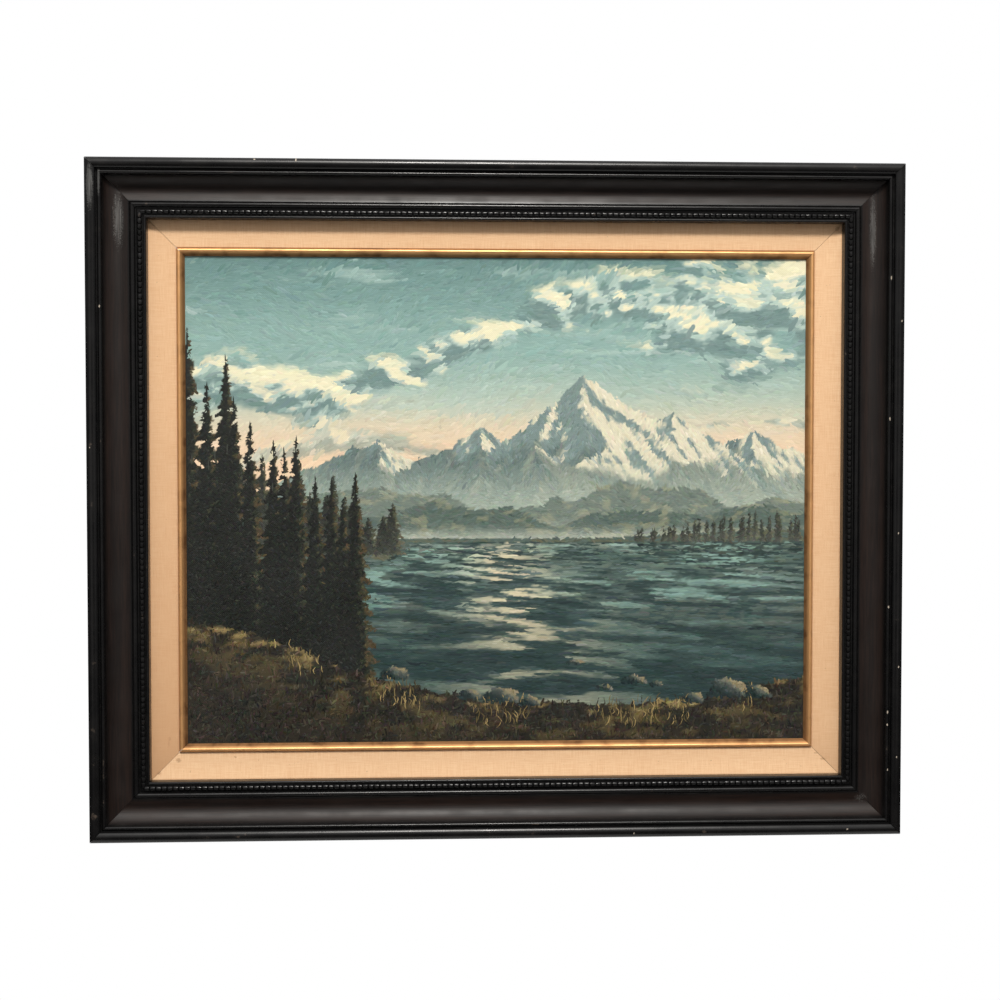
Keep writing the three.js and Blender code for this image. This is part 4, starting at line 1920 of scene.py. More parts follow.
    def lake(self, x: Array, z: Array) -> Array:
        """Colours of the water, with what it mirrors.

        Args:
            x: Places across.
            z: Places up.

        Returns:
            The colours.
        """
        away = self.shore - z
        grow = np.log(np.maximum(away, 0.0) + 9.0) * 13.0
        ripples = clouded(x / (9 + 0.42 * away), grow, 141, 4)
        broad = clouded(x / 150, grow / 5.5, 151, 3)
        wobble = (ripples - 0.5) * (3 + 0.5 * away)
        mirrored, _ = self.above(x + wobble, self.shore + 2 + np.abs(away * 1.32 + 0.5 * wobble))
        colour = over(mirrored, Tint.LAKE, 0.30 + 0.25 * ramp(away, 0, 120))
        colour = over(colour, Tint.DEEP, 0.26 + 0.62 * ramp(away + 70 * (broad - 0.5), 10, 140))
        colour = over(colour, Tint.DEEP, 0.75 * ramp(ripples, 0.50, 0.36))
        band = ramp(broad, 0.44, 0.66) * ramp(away, 165, 20)
        colour = over(colour, Tint.AQUA, ramp(ripples, 0.54, 0.68) * (0.14 + 0.5 * band))
        path = np.exp(-(((x - 350 - 0.25 * away) / (34 + 0.42 * away)) ** 2))
        bright = path * (0.85 - 0.35 * ramp(away, 60, 170))
        return over(colour, Tint.GLINT, ramp(ripples, 0.52, 0.66) * bright)

    def bank(self, x: Array, z: Array, colour: Array, ground: Array) -> tuple[Array, Array]:
        """Lays the near bank with its stones over the colours.

        Args:
            x: Places across.
            z: Places up.
            colour: Colours under the bank.
            ground: Number of the ground of each place.

        Returns:
            The colours and the grounds.
        """
        tufts = 6 * (clouded(x / 4, x * 0, 171, 2) - 0.5)
        depth = self.bank_edge(x) + tufts - z
        inside = depth > 0
        clods = clouded(x / 19, z / 8, 181, 4)
        land = over(Tint.EARTH, Tint.GRASS, 0.75 * ramp(clods, 0.44, 0.68) * ramp(depth, 90, 2))
        land = over(land, Tint.STRAW, 0.75 * ramp(clods, 0.55, 0.75) * ramp(depth, 22, 1))
        land = over(land, Tint.PINE, 0.5 * ramp(clods, 0.46, 0.3))
        colour = np.where(inside[:, None], land, colour)
        ground = np.where(inside, Ground.BANK.number, ground)
        for middle, foot, wide, tall in self.stones():
            across = (x - middle) / wide
            up = (z - foot) / tall
            rough = 0.5 * (clouded(x / 9, z / 7, int(middle)) - 0.5)
            inside = (np.hypot(across, np.maximum(up, 0)) + rough < 1) & (up > -0.25)
            lit = ramp(0.7 * across + 0.9 * up + 1.4 * rough, -0.1, 1.15)
            stone = over(Tint.DEEP.tone * 0.8, Tint.STONE, lit)
            stone = over(stone, Tint.STRAW, 0.5 * ramp(lit, 0.62, 1.0))
            colour = np.where(inside[:, None], stone, colour)
            ground = np.where(inside, Ground.STONE.number, ground)
        return colour, ground

    @staticmethod
    def stones() -> tuple[tuple[float, float, float, float], ...]:
        """The stones by the water: place across, height of the foot, half the width, and height."""
        return (
            (352, 47, 21, 15),
            (385, 42, 12, 8),
            (318, 50, 12, 9),
            (470, 58, 9, 5),
            (505, 66, 15, 8),
            (530, 62, 8, 5),
            (610, 52, 24, 17),
            (646, 50, 15, 11),
            (571, 44, 13, 9),
            (232, 74, 16, 11),
            (436, 88, 11, 4),
        )

    def view(self, x: Array, z: Array) -> tuple[Array, Array]:
        """What the painting shows.

        Args:
            x: Places across.
            z: Places up.

        Returns:
            Rows of display colours from 0 to 1, and the number of the ground of each place.
        """
        colour, ground = self.above(x, z)
        point = 20 * ramp(x, 262, 215) + 5 * (clouded(x / 17, x * 0, 191, 3) - 0.5) * ramp(x, 300, 240)
        wet = z < self.shore - point
        colour = np.where(wet[:, None], self.lake(x, z), colour)
        ground = np.where(wet, Ground.LAKE.number, ground)
        colour, ground = self.wooded(x, z, colour, ground, 0.5, 0.6)
        colour, ground = self.wooded(x, z, colour, ground, 0.9, 1.0)
        return self.bank(x, z, colour, ground)


@dataclass
class Brush:
    """The strokes that the landscape is painted with, in millimetres.

    Attributes:
        scene: What is painted.
        passes: For each pass its number of strokes, and how large they are.
        inset: How far the strokes stay inside the sight opening.
    """

    scene: Landscape
    passes: tuple[tuple[int, float], ...] = ((8000, 1.7), (13500, 1.0), (15000, 0.62))
    inset: float = 1.2

    def strokes(self) -> dict[str, Array]:
        """Places the strokes, the far grounds first.

        Returns:
            For each stroke its place, direction, length, width, bend, colour and ground.
        """
        draw = np.random.default_rng(self.scene.seed)
        sizes = np.array([ground.value[1:] for ground in Ground])
        parts = [self._leaders(draw), self._blades(draw)]
        for count, scale in self.passes:
            x = draw.uniform(0, self.scene.width, count * 3)
            z = draw.uniform(0, self.scene.height, count * 3)
            colour, ground = self.scene.view(x, z)
            length, width, spread, follow = sizes[ground].T
            area = length * width * scale ** (2 * follow)
            kept = np.flatnonzero(draw.uniform(size=len(x)) < area.min() / area)[:count]
            x, z, colour, ground = x[kept], z[kept], colour[kept], ground[kept]
            length, width, spread, follow = sizes[ground].T
            light = draw.normal(0, spread)[:, None] + draw.normal(0, 0.35, (len(x), 3)) * spread[:, None]
            size = scale**follow * draw.uniform(0.65, 1.35, len(x))
            parts.append(
                {
                    "x": x,
                    "z": z,
                    "angle": self._directions(x, z, ground, draw),
                    "length": length * size,
                    "width": width * size**0.8,
                    "bend": draw.normal(0, 0.1, len(x)),
                    "colour": np.clip(colour + light, 0.02, 0.97),
                    "ground": ground,
                    "rank": ground * 10.0 - 3.0 * scale + draw.uniform(0, 0.5, len(x)),
                }
            )
        whole = {key: np.concatenate([part[key] for part in parts]) for key in parts[0]}
        order = np.argsort(whole.pop("rank"), kind="stable")
        return {key: values[order] for key, values in whole.items()}

    def _leaders(self, draw: np.random.Generator) -> dict[str, Array]:
        """The upright strokes that end the trees, as for strokes.

        Args:
            draw: Source of the random part.

        Returns:
            The strokes' values by name.
        """
        trees = self.scene.conifers()
        length = np.array([0.085 * (tree.top - tree.foot) + 3.5 for tree in trees])
        near = np.array([tree.near for tree in trees])
        return {
            "x": np.array([tree.x for tree in trees]),
            "z": np.array([tree.top for tree in trees]) - 0.3 * length,
            "angle": math.pi / 2 + draw.normal(0, 0.04, len(trees)),
            "length": length,
            "width": 0.9 + 0.8 * near,
            "bend": 0.0 * near,
            "colour": over(Tint.PINE, Tint.MIST, 0.45 * (1 - near)),
            "ground": np.full(len(trees), Ground.TREES.number),
            "rank": 30.0 + near,
        }

    def _blades(self, draw: np.random.Generator, count: int = 620) -> dict[str, Array]:
        """The blades of grass along the near bank's edge, as for strokes.

        Args:
            draw: Source of the random part.
            count: How many are drawn before bare stretches are left out.

        Returns:
            The strokes' values by name.
        """
        x = draw.uniform(0, self.scene.width, count)
        x = x[clouded(x / 34, x * 0, 221, 2) > 0.43]
        length = draw.uniform(7, 17, len(x))
        shares = draw.uniform(size=len(x))
        colour = over(Tint.GRASS, Tint.STRAW, ramp(shares, 0.45, 0.9))
        return {
            "x": x,
            "z": self.scene.bank_edge(x) + draw.uniform(-26, 4, len(x)) + 0.1 * length,
            "angle": math.pi / 2 + draw.normal(0, 0.24, len(x)),
            "length": length,
            "width": draw.uniform(0.8, 1.3, len(x)),
            "bend": draw.normal(0, 0.22, len(x)),
            "colour": over(colour, Tint.EARTH, ramp(shares, 0.4, 0.1)),
            "ground": np.full(len(x), Ground.BANK.number),
            "rank": 45.0 + 0.0 * x,
        }

    def _directions(self, x: Array, z: Array, ground: Array, draw: np.random.Generator) -> Array:
        """Directions of the strokes in radians.

        Args:
            x: Places across.
            z: Places up.
            ground: Numbers of the grounds.
            draw: Source of the random part.

        Returns:
            The directions.
        """
        sweep = 0.15 + 2.6 * (clouded(x / 80, z / 60, 211, 3) - 0.5)
        summits = np.array([peak.x for peak in self.scene.peaks])
        nearest = summits[np.argmin(np.abs(x[:, None] - summits), axis=1)]
        fall = np.where(x > nearest, -1.0, 1.0) * np.where(z > 285, 1.0, 0.35)
        twigs = np.where(draw.uniform(size=len(x)) < 0.5, -0.75, math.pi + 0.75)
        blades = np.where(draw.uniform(size=len(x)) < 0.6, math.pi / 2, 0.1)
        angle = np.choose(ground, [sweep, fall, 0.0 * x, twigs, blades, 0.4 * twigs])
        return angle + draw.normal(0, np.choose(ground, [0.28, 0.26, 0.045, 0.32, 0.36, 0.3]))


@dataclass
class Painting:
    """The picture, as colours of the cloth and as brush strokes in relief. Sizes in millimetres.

    Attributes:
        layout: Where the frame stands.
        scene: What is painted.
        body: Thickness of the thinnest and the thickest strokes along their middle.
        sunk: How deep a stroke's edge lies in what it is painted on.
        cell: Spacing of the places where the paint's height is kept while the strokes are laid.
        rows: Places along a stroke from 0 to 1, each with its width and its thickness as shares.
    """

    layout: Layout
    scene: Landscape = Landscape()
    body: Pair = (0.05, 0.17)
    sunk: float = 0.02
    cell: float = 1.5
    rows: tuple[Triple, ...] = ((0.2, 0.82, 0.75), (0.55, 1.0, 1.0), (0.86, 0.72, 0.8))

    def corner(self) -> Array:
        """The lower left corner of what shows of the canvas, in metres.

        Returns:
            Its X, Y and Z.
        """
        centre = self.layout.centre
        half = (self.scene.width * MM / 2, self.scene.height * MM / 2)
        return np.array([centre.x - half[0], -self.layout.canvas_face, centre.z - half[1]])

    def colours(self, x: Array, z: Array) -> Array:
        """Colours of the painted cloth.

        Args:
            x: Places across, in metres.
            z: Places up, in metres.

        Returns:
            Rows of red, green and blue.
        """
        corner = self.corner()
        shown, _ = self.scene.view((x - corner[0]) / MM, (z - corner[2]) / MM)
        return self._linear(shown)

    @staticmethod
    def _linear(shown: Array) -> Array:
        """Turns display colours to the linear colours that a shader takes."""
        shown = np.clip(shown, 0.0, 1.0)
        return np.where(shown <= 0.04045, shown / 12.92, ((shown + 0.055) / 1.055) ** 2.4)

    @staticmethod
    def pigment(mesh: Mesh, colours: Array) -> None:
        """Stores colours on a mesh's vertices.

        Args:
            mesh: The mesh.
            colours: Rows of red, green and blue.
        """
        rgba = np.concatenate([colours, np.ones((len(colours), 1))], axis=1).astype(np.float32)
        mesh.color_attributes.new("pigment", "FLOAT_COLOR", "POINT").data.foreach_set("color", rgba.ravel())

    def build(self, paint: Material) -> None:
        """Lays the brush strokes on the canvas, one piece for each ground, with the stones in the bank's.

        Args:
            paint: The paint finish.
        """
        strokes = Brush(self.scene).strokes()
        outline = self._outlines(strokes)
        thick = np.interp(strokes["width"], (0.8, 5.0), self.body)
        rest = self._rests(outline, thick)
        _, _, rise = self._template()
        depth = rest[:, None] - self.sunk + rise * (thick + self.sunk)[:, None]
        points = self.corner() + np.stack([outline[..., 0], -depth, outline[..., 1]], axis=-1) * MM
        shown = np.where(strokes["ground"] == Ground.STONE.number, Ground.BANK.number, strokes["ground"])
        for ground in Ground:
            chosen = shown == ground.number
            own = {key: rows[chosen] for key, rows in strokes.items()}
            if chosen.any():
                self._piece(ground, points[chosen], own, paint)

    def _template(self) -> tuple[Array, Array, Array]:
        """The eleven corners of a stroke: tail, left, ridge and right of each row, head.

        Returns:
            For each corner its place along, its place across and its height, as shares.
        """
        corners = [(0.0, 0.0, 0.0)]
        for along, wide, thick in self.rows:
            corners += [(along, wide, 0.0), (along, 0.1, thick), (along, -wide, 0.0)]
        along, across, rise = np.array([*corners, (1.0, 0.0, 0.0)]).T
        return along, across, rise

    def _outlines(self, strokes: dict[str, Array]) -> Array:
        """Places of the strokes' corners on the canvas, across and up.

        Args:
            strokes: The strokes' values by name.

        Returns:
            For each stroke its corners, across and up.
        """
        along, across, _ = self._template()
        length, width = strokes["length"][:, None], strokes["width"][:, None]
        forward = (along - 0.5) * length
        sideways = across * width / 2 + strokes["bend"][:, None] * 4 * length * ((along - 0.5) ** 2 - 0.08)
        cos, sin = np.cos(strokes["angle"])[:, None], np.sin(strokes["angle"])[:, None]
        place = np.stack(
            [
                strokes["x"][:, None] + forward * cos - sideways * sin,
                strokes["z"][:, None] + forward * sin + sideways * cos,
            ],
            axis=-1,
        )
        inset = Brush(self.scene).inset
        return np.clip(place, inset, np.array([self.scene.width, self.scene.height]) - inset)

    def _rests(self, outline: Array, thick: Array) -> Array:
        """Heights of the paint that each stroke is laid on.

        Args:
            outline: Places of the strokes' corners.
            thick: Thickness of each stroke.

        Returns:
            A height for each stroke.
        """
        columns = int(self.scene.width / self.cell) + 1
        cells = (outline / self.cell).astype(np.int64)
        cells = cells[..., 1] * columns + cells[..., 0]
        laid = np.zeros(columns * (int(self.scene.height / self.cell) + 1))
        rest = np.empty(len(thick))
        for number, own in enumerate(cells):
            rest[number] = laid[own].mean()
            laid[own] = rest[number] + 0.6 * thick[number]
        return rest

    def _piece(
        self, ground: Ground, points: Array, strokes: dict[str, Array], paint: Material
    ) -> None:
        """Makes the strokes of one ground into a piece.

        Args:
            ground: The ground.
            points: Corners of its strokes in metres.
            strokes: Its strokes.
            paint: The paint finish.
        """
        top = [(0, 1, 2), (0, 2, 3), (7, 10, 8), (8, 10, 9)]
        for row in (1, 4):
            top += [(row, row + 3, row + 4, row + 1), (row + 1, row + 4, row + 5, row + 2)]
        under = (0, 3, 6, 9, 10, 7, 4, 1)
        count = len(points)
        firsts = np.arange(count) * points.shape[1]
        every = (*top, under)
        faces = [tuple(first + corner for corner in face) for first in firsts.tolist() for face in every]
        mesh = mesh_from(f"paint_{ground.name.lower()}", points.reshape(-1, 3), faces)
        along, across, _ = self._template()
        order = np.concatenate([np.array(face) for face in every])
        below = np.arange(len(order)) >= len(order) - len(under)
        wide = int(math.ceil(math.sqrt(count * 0.4)))
        tall = int(math.ceil(count / wide))
        # A stroke has its own cell of the map, the top in its upper two thirds and the underside below.
        u = 0.04 + 0.92 * along[order]
        v = np.where(below, 0.17 + 0.12 * across[order], 0.66 + 0.3 * across[order])
        column, row = np.divmod(np.arange(count), tall)
        atlas = np.stack([(column[:, None] + u) / wide, (row[:, None] + v) / tall], axis=-1)
        stroke = np.stack(
            [
                column[:, None] * 0.031 + strokes["length"][:, None] * along[order] * MM,
                row[:, None] * 0.017 + strokes["width"][:, None] * across[order] * MM / 2,
            ],
            axis=-1,
        )
        for name, places in (("OFBake", atlas), ("Stroke", stroke)):
            unwrap(mesh, name, places.reshape(-1, 2))
        self.pigment(mesh, np.repeat(self._linear(strokes["colour"]), points.shape[1], axis=0))
        turn_outwards(mesh)
        shade(mesh, 60.0)
        as_part(piece(mesh.name, mesh, [paint]), "painted_canvas")


# The canvas --------


@dataclass
class Canvas:
    """The painted cloth drawn over its stretcher. Sizes in millimetres.

    Attributes:
        layout: Where the frame stands.
        cloth: Thickness of the primed cloth.
        edge_round: Radius of the bend over the stretcher's edge.
        fold: Width folded onto the stretcher's back.
        grid: Spacing of the painted face's vertices.
        primed_edge: Colour of the primed cloth outside the painted face.
        primed_depth: How far behind the face the bare cloth begins.
    """

    layout: Layout
    cloth: float = 0.7
    edge_round: float = 1.3
    fold: float = 22.0
    grid: float = 2.2
    primed_edge: Colour = (0.55, 0.5, 0.42)
    primed_depth: float = 2.5

    def build(self, paint: Material, bare: Material, painting: Painting) -> None:
        """Builds the cloth as one closed sheet, painted in front and bare behind.

        Args:
            paint: The paint finish.
            bare: The bare canvas finish.
            painting: What is painted on it.
        """
        low, high = (np.array(corner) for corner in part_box("canvas"))
        bend = self.edge_round * MM
        xs, zs = (
            np.linspace(near + bend, far - bend, round((far - near) / (self.grid * MM)) + 1)
            for near, far in ((low[0], high[0]), (low[2], high[2]))
        )
        grid_x, grid_z = (grid.ravel() for grid in np.meshgrid(xs, zs))
        front = np.stack([grid_x, np.full(grid_x.size, low[1]), grid_z], axis=1)
        number = np.arange(len(front)).reshape(len(zs), len(xs))
        cells = [number[:-1, :-1], number[:-1, 1:], number[1:, 1:], number[1:, :-1]]
        faces = np.stack(cells, axis=-1).reshape(-1, 4).tolist()
        rim = np.concatenate([number[0, :], number[1:, -1], number[-1, -2::-1], number[-2:0:-1, 0]])
        rings, tones = [front], [painting.colours(front[:, 0], front[:, 2])]
        middle = np.array([(xs[0] + xs[-1]) / 2, 0.0, (zs[0] + zs[-1]) / 2])
        half = np.array([(xs[-1] - xs[0]) / 2, math.inf, (zs[-1] - zs[0]) / 2])
        last, total = rim, len(front)
        for outside, depth in self._shell_steps(low[1], high[1]):
            ring = middle + (front[rim] - middle) * (1 + outside / half)
            ring[:, 1] = depth
            rings.append(ring)
            tones.append(np.tile(self.primed_edge, (len(ring), 1)))
            new = np.arange(total, total + len(rim))
            faces += np.stack([last, new, np.roll(new, -1), np.roll(last, -1)], axis=1).tolist()
            last, total = new, total + len(rim)
        faces.append(last.tolist())
        mesh = mesh_from("canvas_cloth", np.concatenate(rings), faces)
        turn_outwards(mesh)
        painting.pigment(mesh, np.concatenate(tones))
        unwrap(mesh, "Stroke", read(mesh.vertices, "co", 3)[:, [0, 2]] - low[[0, 2]])
        shade(mesh, 50.0)
        made = piece("canvas_cloth", mesh, [paint, bare])
        behind = low[1] + self.primed_depth * MM
        for face in made.data.polygons:
            face.material_index = int(face.center.y > behind or face.normal.y > 0.5)
        as_part(made, "painted_canvas", "canvas")

    def _shell_steps(self, front: float, back: float) -> list[Pair]:
        """Steps of the cloth from the edge of its face round to its inner face.

        Args:
            front: Y of the painted face.
            back: Y of the cloth on the stretcher's back.

        Returns:
            For each ring, how far it lies outside the face's edge and its Y.
        """
        bend, cloth, fold = self.edge_round * MM, self.cloth * MM, self.fold * MM
        turns = np.linspace(0.0, math.pi / 2, 5)[1:]
        outside = [(bend * math.sin(turn), front + bend * (1 - math.cos(turn))) for turn in turns]
        turned_back = [(bend * math.cos(turn), back - bend * (1 - math.sin(turn))) for turn in turns]
        inner = bend - cloth
        return [
            *outside,
            (bend, back - bend),
            *turned_back,
            (bend - fold, back),
            (bend - fold, back - cloth),
            (inner, back - cloth),
            (inner, front + cloth),
        ]


# The back --------


@dataclass
class Back:
    """The stretcher, the clips and the hangers, with their screws, nails and staples. Sizes in millimetres.

    Attributes:
        layout: Where the frame stands.
        clip_offsets: Places of the clips along the sides that run across and that run up.
        clip_seat: Inset and rise of a clip's screw.
        screw: Diameter and height of a screw's head, and width of its slot.
        nail: Diameter and height of a nail's head.
        nail_spread: Distance of a hanger's nails from its middle.
        sheet: Thickness of the clips and hangers.
        staple: Length, width and height of a staple's crown.
        staple_pitch: Distance from staple to staple.
        staple_margin: Distance of the last staple from the fold across the corner.
        clip_clearance: How far a staple keeps from the middle of a clip.
        fold: Width of the canvas folded onto the stretcher.
        flap: Thickness of a corner's flap, its distance from the edges, and how far it reaches past the fold.
        seed: Seed of the turns.
    """

    layout: Layout
    clip_offsets: Pair = (220.0, 150.0)
    clip_seat: Pair = (77.0, 6.7)
    screw: Triple = (7.4, 2.2, 1.1)
    nail: Pair = (4.2, 0.9)
    nail_spread: float = 25.4
    sheet: float = 1.0
    staple: Triple = (11.0, 0.9, 0.6)
    staple_pitch: float = 54.0
    staple_margin: float = 8.0
    clip_clearance: float = 16.0
    fold: float = 22.0
    flap: Triple = (0.5, 0.6, 13.0)
    seed: int = 5

    def build(self, finishes: dict[str, Material]) -> None:
        """Dresses the nodes of the back and adds what holds them.

        Args:
            finishes: Materials by name: pine_x, pine_z, zinc, brass, steel and bare.
        """
        self.dress_nodes(finishes)
        draw = np.random.default_rng(self.seed)
        for name, seats, head, finish, slot in (
            ("clip_screws", self._screw_seats, self._screw_head, "zinc", "zinc_plate"),
            ("hanger_nails", self._nail_seats, self._nail_head, "brass", "brass_plate"),
            ("canvas_staples", self._staple_seats, self._staple_crown, "steel", "zinc_plate"),
        ):
            self._fixed(name, seats(draw), head, finishes[finish], slot)
        self._corner_folds(finishes["bare"])

    def dress_nodes(self, finishes: dict[str, Material]) -> None:
        """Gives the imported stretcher, clips and hangers their finishes.

        Args:
            finishes: Materials by name: pine_x, pine_z, zinc and brass.
        """
        for name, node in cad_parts.items():
            if name.startswith("stretcher_"):
                across = name.endswith(("top", "bottom"))
                material = finishes["pine_x" if across else "pine_z"]
            elif name.startswith("offset_clip_"):
                material = finishes["zinc"]
            elif name.startswith("hanger_"):
                material = finishes["brass"]
            else:
                continue
            node.data.materials.clear()
            node.data.materials.append(material)
            log.info("%s: dressed in %s", name, material.name)

    def _on_side(self, side: Side, along: float, inset: float, rise: float) -> Vector:
        """A place on a side's back, from millimetres along it, in from its outer edge and off the wall."""
        reach = self.layout.run(side)[1]
        return self.layout.placed(side) @ Vector((along * MM, -rise * MM, reach - inset * MM))

    def _screw_seats(self, draw: np.random.Generator) -> list[tuple[Vector, float]]:
        """Places and turns of the clips' screws.

        Args:
            draw: Source of the random part.

        Returns:
            The places and turns.
        """
        seats = []
        for side in Side:
            offset = self.clip_offsets[0 if side.across else 1]
            for hand in (-1, 1):
                seats.append((self._on_side(side, hand * offset, *self.clip_seat), draw.uniform(0, math.pi)))
        return seats

    def _nail_seats(self, draw: np.random.Generator) -> list[tuple[Vector, float]]:
        """Places and turns of the hangers' nails.

        Args:
            draw: Source of the random part.

        Returns:
            The places and turns.
        """
        seats = []
        for name in HANGERS:
            low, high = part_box(name)
            for hand in (-1, 1):
                across = (low[0] + high[0]) / 2 + hand * self.nail_spread * MM
                place = Vector((across, low[1] + self.sheet * MM, (low[2] + high[2]) / 2))
                seats.append((place, draw.uniform(0, math.pi)))
        return seats

    def _staple_seats(self, draw: np.random.Generator) -> list[tuple[Vector, float]]:
        """Places and turns of the staples along the folded canvas, clear of the clips.

        Args:
            draw: Source of the random part.

        Returns:
            The places and turns.
        """
        low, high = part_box("canvas")
        seats = []
        width, height = ((high[axis] - low[axis]) / MM for axis in (0, 2))
        for side in Side:
            length, depth = (width, height) if side.across else (height, width)
            middle = self.layout.run(side)[1] / MM - depth / 2 + self.fold / 2
            half = length / 2 - self.fold - self.staple_margin
            count = int(2 * half / self.staple_pitch)
            for along in np.linspace(-half, half, count + 1):
                place = along + draw.uniform(-4, 4)
                if abs(abs(place) - self.clip_offsets[0 if side.across else 1]) > self.clip_clearance:
                    seat = self._on_side(side, place, middle + draw.uniform(-2, 2), -high[1] / MM)
                    seats.append((seat, math.radians(side.value) + draw.normal(0, 0.16)))
        return seats

    def _fixed(
        self,
        name: str,
        seats: list[tuple[Vector, float]],
        head: Callable[[Graph], Value],
        material: Material,
        slot: str,
    ) -> None:
        """Sets a head at each seat, facing the wall.

        Args:
            name: The piece's name.
            seats: Places and turns in radians.
            head: Adds the nodes that make one head, standing on its base and facing +Z.
            material: Its finish.
            slot: Name of a material slot, passed on to as_part.
        """
        graph, given = geometry_tree(name, Material="Material")
        turn = graph.out("GeometryNodeInputNamedAttribute", {"data_type": "FLOAT"}, Name="turn")
        placed = graph.out(
            "GeometryNodeInstanceOnPoints",
            Points=given["Geometry"],
            Instance=head(graph),
            Rotation=graph.xyz(-math.pi / 2, turn),
        )
        close_tree(graph, placed, given["Material"])
        places, turns = np.array([tuple(place) for place, _ in seats]), np.array([turn for _, turn in seats])
        points = mesh_from(f"{name}_seats", places, [], {"turn": turns})
        as_part(piece(name, grown(name, points, graph, {"Material": material}), [material]), slot)

    @staticmethod
    def _dome(graph: Graph, diameter: float, height: float, segments: int) -> Value:
        """Adds a flattened ball, half of it above its base.

        Args:
            graph: The geometry graph.
            diameter: Its diameter in millimetres.
            height: Its height in millimetres.
            segments: Its number of sides.

        Returns:
            The dome.
        """
        ball = graph.out("GeometryNodeMeshUVSphere", Segments=segments, Rings=8, Radius=0.5)
        size = (diameter * MM, diameter * MM, 2 * height * MM)
        flat = graph.out("GeometryNodeTransform", Geometry=ball, Scale=size)
        return graph.out("GeometryNodeSetShadeSmooth", Geometry=flat)

    def _screw_head(self, graph: Graph) -> Value:
        """Adds a pan head with a straight slot.

        Args:
            graph: The geometry graph.

        Returns:
            The head.
        """
        diameter, height, slot = self.screw
        bar = graph.out("GeometryNodeMeshCube", Size=(1.4 * diameter * MM, slot * MM, 1.2 * height * MM))
        raised = graph.out("GeometryNodeTransform", Geometry=bar, Translation=(0.0, 0.0, height * MM))
        dome = self._dome(graph, diameter, height, 20)
        inputs = {"Mesh_1": dome, "Mesh_2": raised}
        return graph.out("GeometryNodeMeshBoolean", {"operation": "DIFFERENCE"}, **inputs)

    def _nail_head(self, graph: Graph) -> Value:
        """Adds a nail's low head."""
        return self._dome(graph, *self.nail, 14)

    def _staple_crown(self, graph: Graph) -> Value:
        """Adds the crown of a staple, half sunk into the cloth.

        Args:
            graph: The geometry graph.

        Returns:
            The crown.
        """
        length, width, height = (size * MM for size in self.staple)
        bar = graph.out("GeometryNodeMeshCylinder", Vertices=8, Radius=0.5, Depth=1.0)
        turn, size = (0.0, math.pi / 2, 0.0), (2 * height, width, length)
        return graph.out("GeometryNodeTransform", Geometry=bar, Rotation=turn, Scale=size)

    def _corner_folds(self, bare: Material) -> None:
        """Lays the folded-over cloth on the back of each corner.

        Args:
            bare: The bare canvas finish.
        """
        low, high = (np.array(corner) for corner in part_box("canvas"))
        thick, gap, slant = self.flap
        corner = ((1.0, gap), (self.fold - gap, self.fold - gap), (self.fold + slant, gap))
        vertices, faces = [], []
        for x, inward_x in ((low[0], 1), (high[0], -1)):
            for z, inward_z in ((low[2], 1), (high[2], -1)):
                flap = [(x + inward_x * across * MM, z + inward_z * up * MM) for across, up in corner]
                first = len(vertices)
                vertices += [(a, high[1] + (depth - 0.05) * MM, b) for depth in (0.0, thick) for a, b in flap]
                near, far = [first, first + 1, first + 2], [first + 3, first + 4, first + 5]
                if inward_x * inward_z > 0:
                    near, far = near[::-1], far[::-1]
                faces += [near, far[::-1]]
                faces += [(near[(i + 1) % 3], near[i], far[i], far[(i + 1) % 3]) for i in range(3)]
        mesh = mesh_from("canvas_corner_folds", np.array(vertices), faces)
        turn_outwards(mesh)
        as_part(piece(mesh.name, mesh, [bare]), "painted_canvas")


# The studio --------


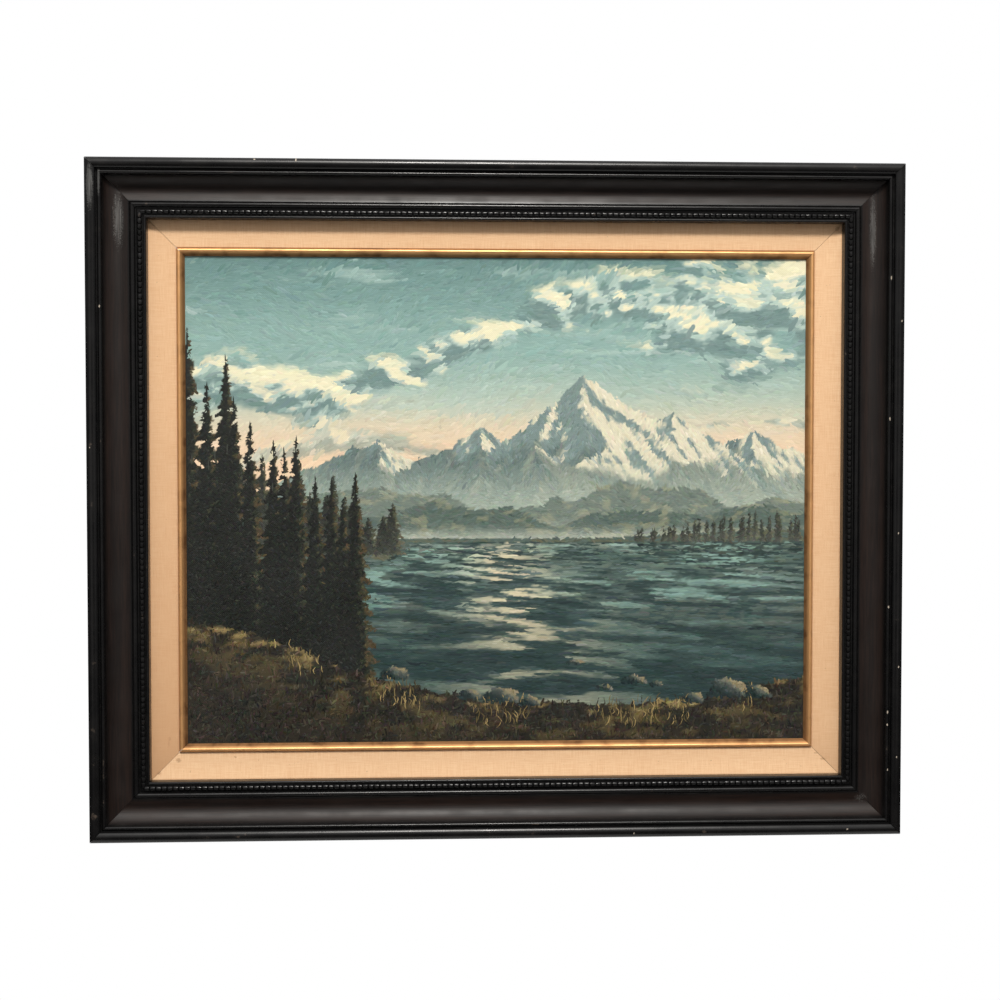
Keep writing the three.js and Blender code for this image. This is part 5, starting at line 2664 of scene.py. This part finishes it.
@dataclass
class Studio:
    """Camera, lights and floor. Distances in metres, from the middle of the painting's face.

    Attributes:
        layout: Where the frame stands.
        lens: Focal length in millimetres.
        sensor: Width of the camera's sensor in millimetres.
        eye: The camera's place.
        aim: The point that the camera looks at.
        key_place: The key light's place.
        key_size: Diameter of the key light.
        key_power: Power of the key light in watts.
        key_colour: Colour of the key light.
        fill_place: Place of the right side fill, which the left one mirrors.
        fill_size: Diameter of the side fills.
        fill_powers: Power of the left and the right side fill in watts.
        fill_colour: Colour of the side fills.
        ambient: Brightness of the room as it lights the frame, below, level and above.
        floor_drop: Floor below the middle of the painting.
        floor_size: Side of the floor.
    """

    layout: Layout
    lens: float = 57.6
    sensor: float = 36.0
    eye: Triple = (-0.0844, -1.805, 0.0607)
    aim: Triple = (0.0020, 0.0, 0.0006)
    key_place: Triple = (0.08, -2.62, 2.72)
    key_size: float = 0.6
    key_power: float = 137.0
    key_colour: Colour = (1.0, 0.965, 0.91)
    fill_place: Triple = (1.3, -2.1, 0.1)
    fill_size: float = 1.5
    fill_powers: Pair = (2.53, 2.185)
    fill_colour: Colour = (1.0, 0.97, 0.93)
    ambient: Triple = (0.012, 0.085, 1.0)
    floor_drop: float = 2.4
    floor_size: float = 3.4

    def middle(self) -> Vector:
        """The middle of the painting's face."""
        return self.layout.centre - Vector((0.0, self.layout.canvas_face, 0.0))

    def build(self) -> None:
        """Builds the studio."""
        scene = bpy.context.scene
        scene.view_settings.view_transform = "Standard"
        scene.view_settings.look = "None"
        self._camera()
        self._light("key", Vector(self.key_place), self.key_size, self.key_power, self.key_colour)
        for name, sign, power in zip(("fill_left", "fill_right"), (-1, 1), self.fill_powers):
            away = Vector((sign * self.fill_place[0], *self.fill_place[1:]))
            self._light(name, away, self.fill_size, power, self.fill_colour)
        self._room()
        self._floor()

    def _camera(self) -> None:
        """Sets the camera."""
        data = bpy.data.cameras.new("camera")
        data.lens, data.sensor_width = self.lens, self.sensor
        bpy.context.scene.camera = self._aimed("camera", data, Vector(self.eye), Vector(self.aim))

    def _aimed(self, name: str, data: bpy.types.ID, place: Vector, aim: Vector) -> Object:
        """Makes an object of a camera or a light, with its place and aim from the painting's middle.

        Args:
            name: The object's name.
            data: The camera or light.
            place: Its place.
            aim: The point that it faces.

        Returns:
            The object.
        """
        made = linked(name, data)
        made.location = self.middle() + place
        look = self.middle() + aim - made.location
        made.rotation_euler = look.to_track_quat("-Z", "Y").to_euler()
        return made

    def _light(self, name: str, away: Vector, size: float, power: float, colour: Colour) -> None:
        """Adds a round soft light that faces the middle of the painting.

        Args:
            name: Its name.
            away: Its place from the middle of the painting.
            size: Its diameter.
            power: Its power in watts.
            colour: Its colour.
        """
        data = bpy.data.lights.new(name, "AREA")
        data.shape = "DISK"
        data.size = size
        data.energy = power
        data.color = colour
        self._aimed(name, data, away, Vector())

    def _room(self) -> None:
        """Sets a plain white surround that lights the frame only dimly."""
        world = bpy.data.worlds.new("room")
        world.use_nodes = True
        graph = Graph(world.node_tree)
        below, level, above = self.ambient
        height = graph.parts(graph.add("ShaderNodeTexCoord").outputs["Generated"])[2]
        low = graph.band(height, -0.2, 0.05, below, level)
        lit = graph.plus(low, graph.band(height, 0.08, 0.45, 0.0, above - level))
        seen = graph.add("ShaderNodeLightPath").outputs["Is Camera Ray"]
        strength = graph.maths("MAXIMUM", seen, lit)
        graph.fill(graph.tree.nodes["Background"], Color=(1.0, 1.0, 1.0), Strength=strength)
        bpy.context.scene.world = world

    def _floor(self) -> None:
        """Lays a plain pale floor."""
        half = self.floor_size / 2
        drop = self.middle().z - self.floor_drop
        signs = ((-1, -1), (1, -1), (1, 1), (-1, 1))
        corners = np.array([(across * half, deep * half, drop) for across, deep in signs])
        mesh = mesh_from("floor", corners, [(0, 1, 2, 3)])
        pale = Finish("pale floor", 0.9)
        material, graph, shader = pale.started(Roughness=pale.roughness)
        tone = graph.band(graph.noise(graph.here(), 2.0, 3.0), 0.3, 0.7)
        graph.fill(shader, Base_Color=graph.mixed(tone, (0.80, 0.80, 0.79), (0.86, 0.86, 0.85)))
        piece("floor", mesh, [material])


# Main --------


def main() -> None:
    """Builds the whole painting and its studio."""
    logging.basicConfig(level=logging.INFO, format="%(message)s")
    layout = Layout.from_solids()
    effects = Effects(layout)
    ebonised = EbonisedWood("ebonised wood", 0.27).make(effects)
    linen = LinerLinen("liner linen", 0.9).make(effects)
    gilt = GiltLeaf("gilt leaf", 0.45).make(effects)
    backing = PlainWood("aged wood", 0.75).make(effects)
    pine = PlainWood("stretcher pine", 0.7, light=(0.68, 0.50, 0.30), dark=(0.48, 0.30, 0.15))
    Moulding(layout).build(ebonised, backing)
    Liner(layout).build(linen, backing)
    Fillet(layout).build(gilt)
    painting = Painting(layout)
    paint = OilPaint("oil paint", 0.45).make(effects)
    bare = BareCanvas("bare canvas", 0.9).make(effects)
    Canvas(layout).build(paint, bare, painting)
    painting.build(paint)
    Back(layout).build(
        {
            "pine_x": pine.make(effects, "X"),
            "pine_z": pine.make(effects, "Z"),
            "zinc": PlatedSteel("zinc plate", 0.38).make(effects),
            "brass": PlatedSteel("brass plate", 0.35, (0.72, 0.53, 0.25), (0.22, 0.13, 0.06)).make(effects),
            "steel": PlatedSteel("staple steel", 0.42, (0.42, 0.41, 0.39), (0.16, 0.09, 0.05)).make(effects),
            "bare": bare,
        }
    )
    Studio(layout).build()


if __name__ == "__main__":
    main()
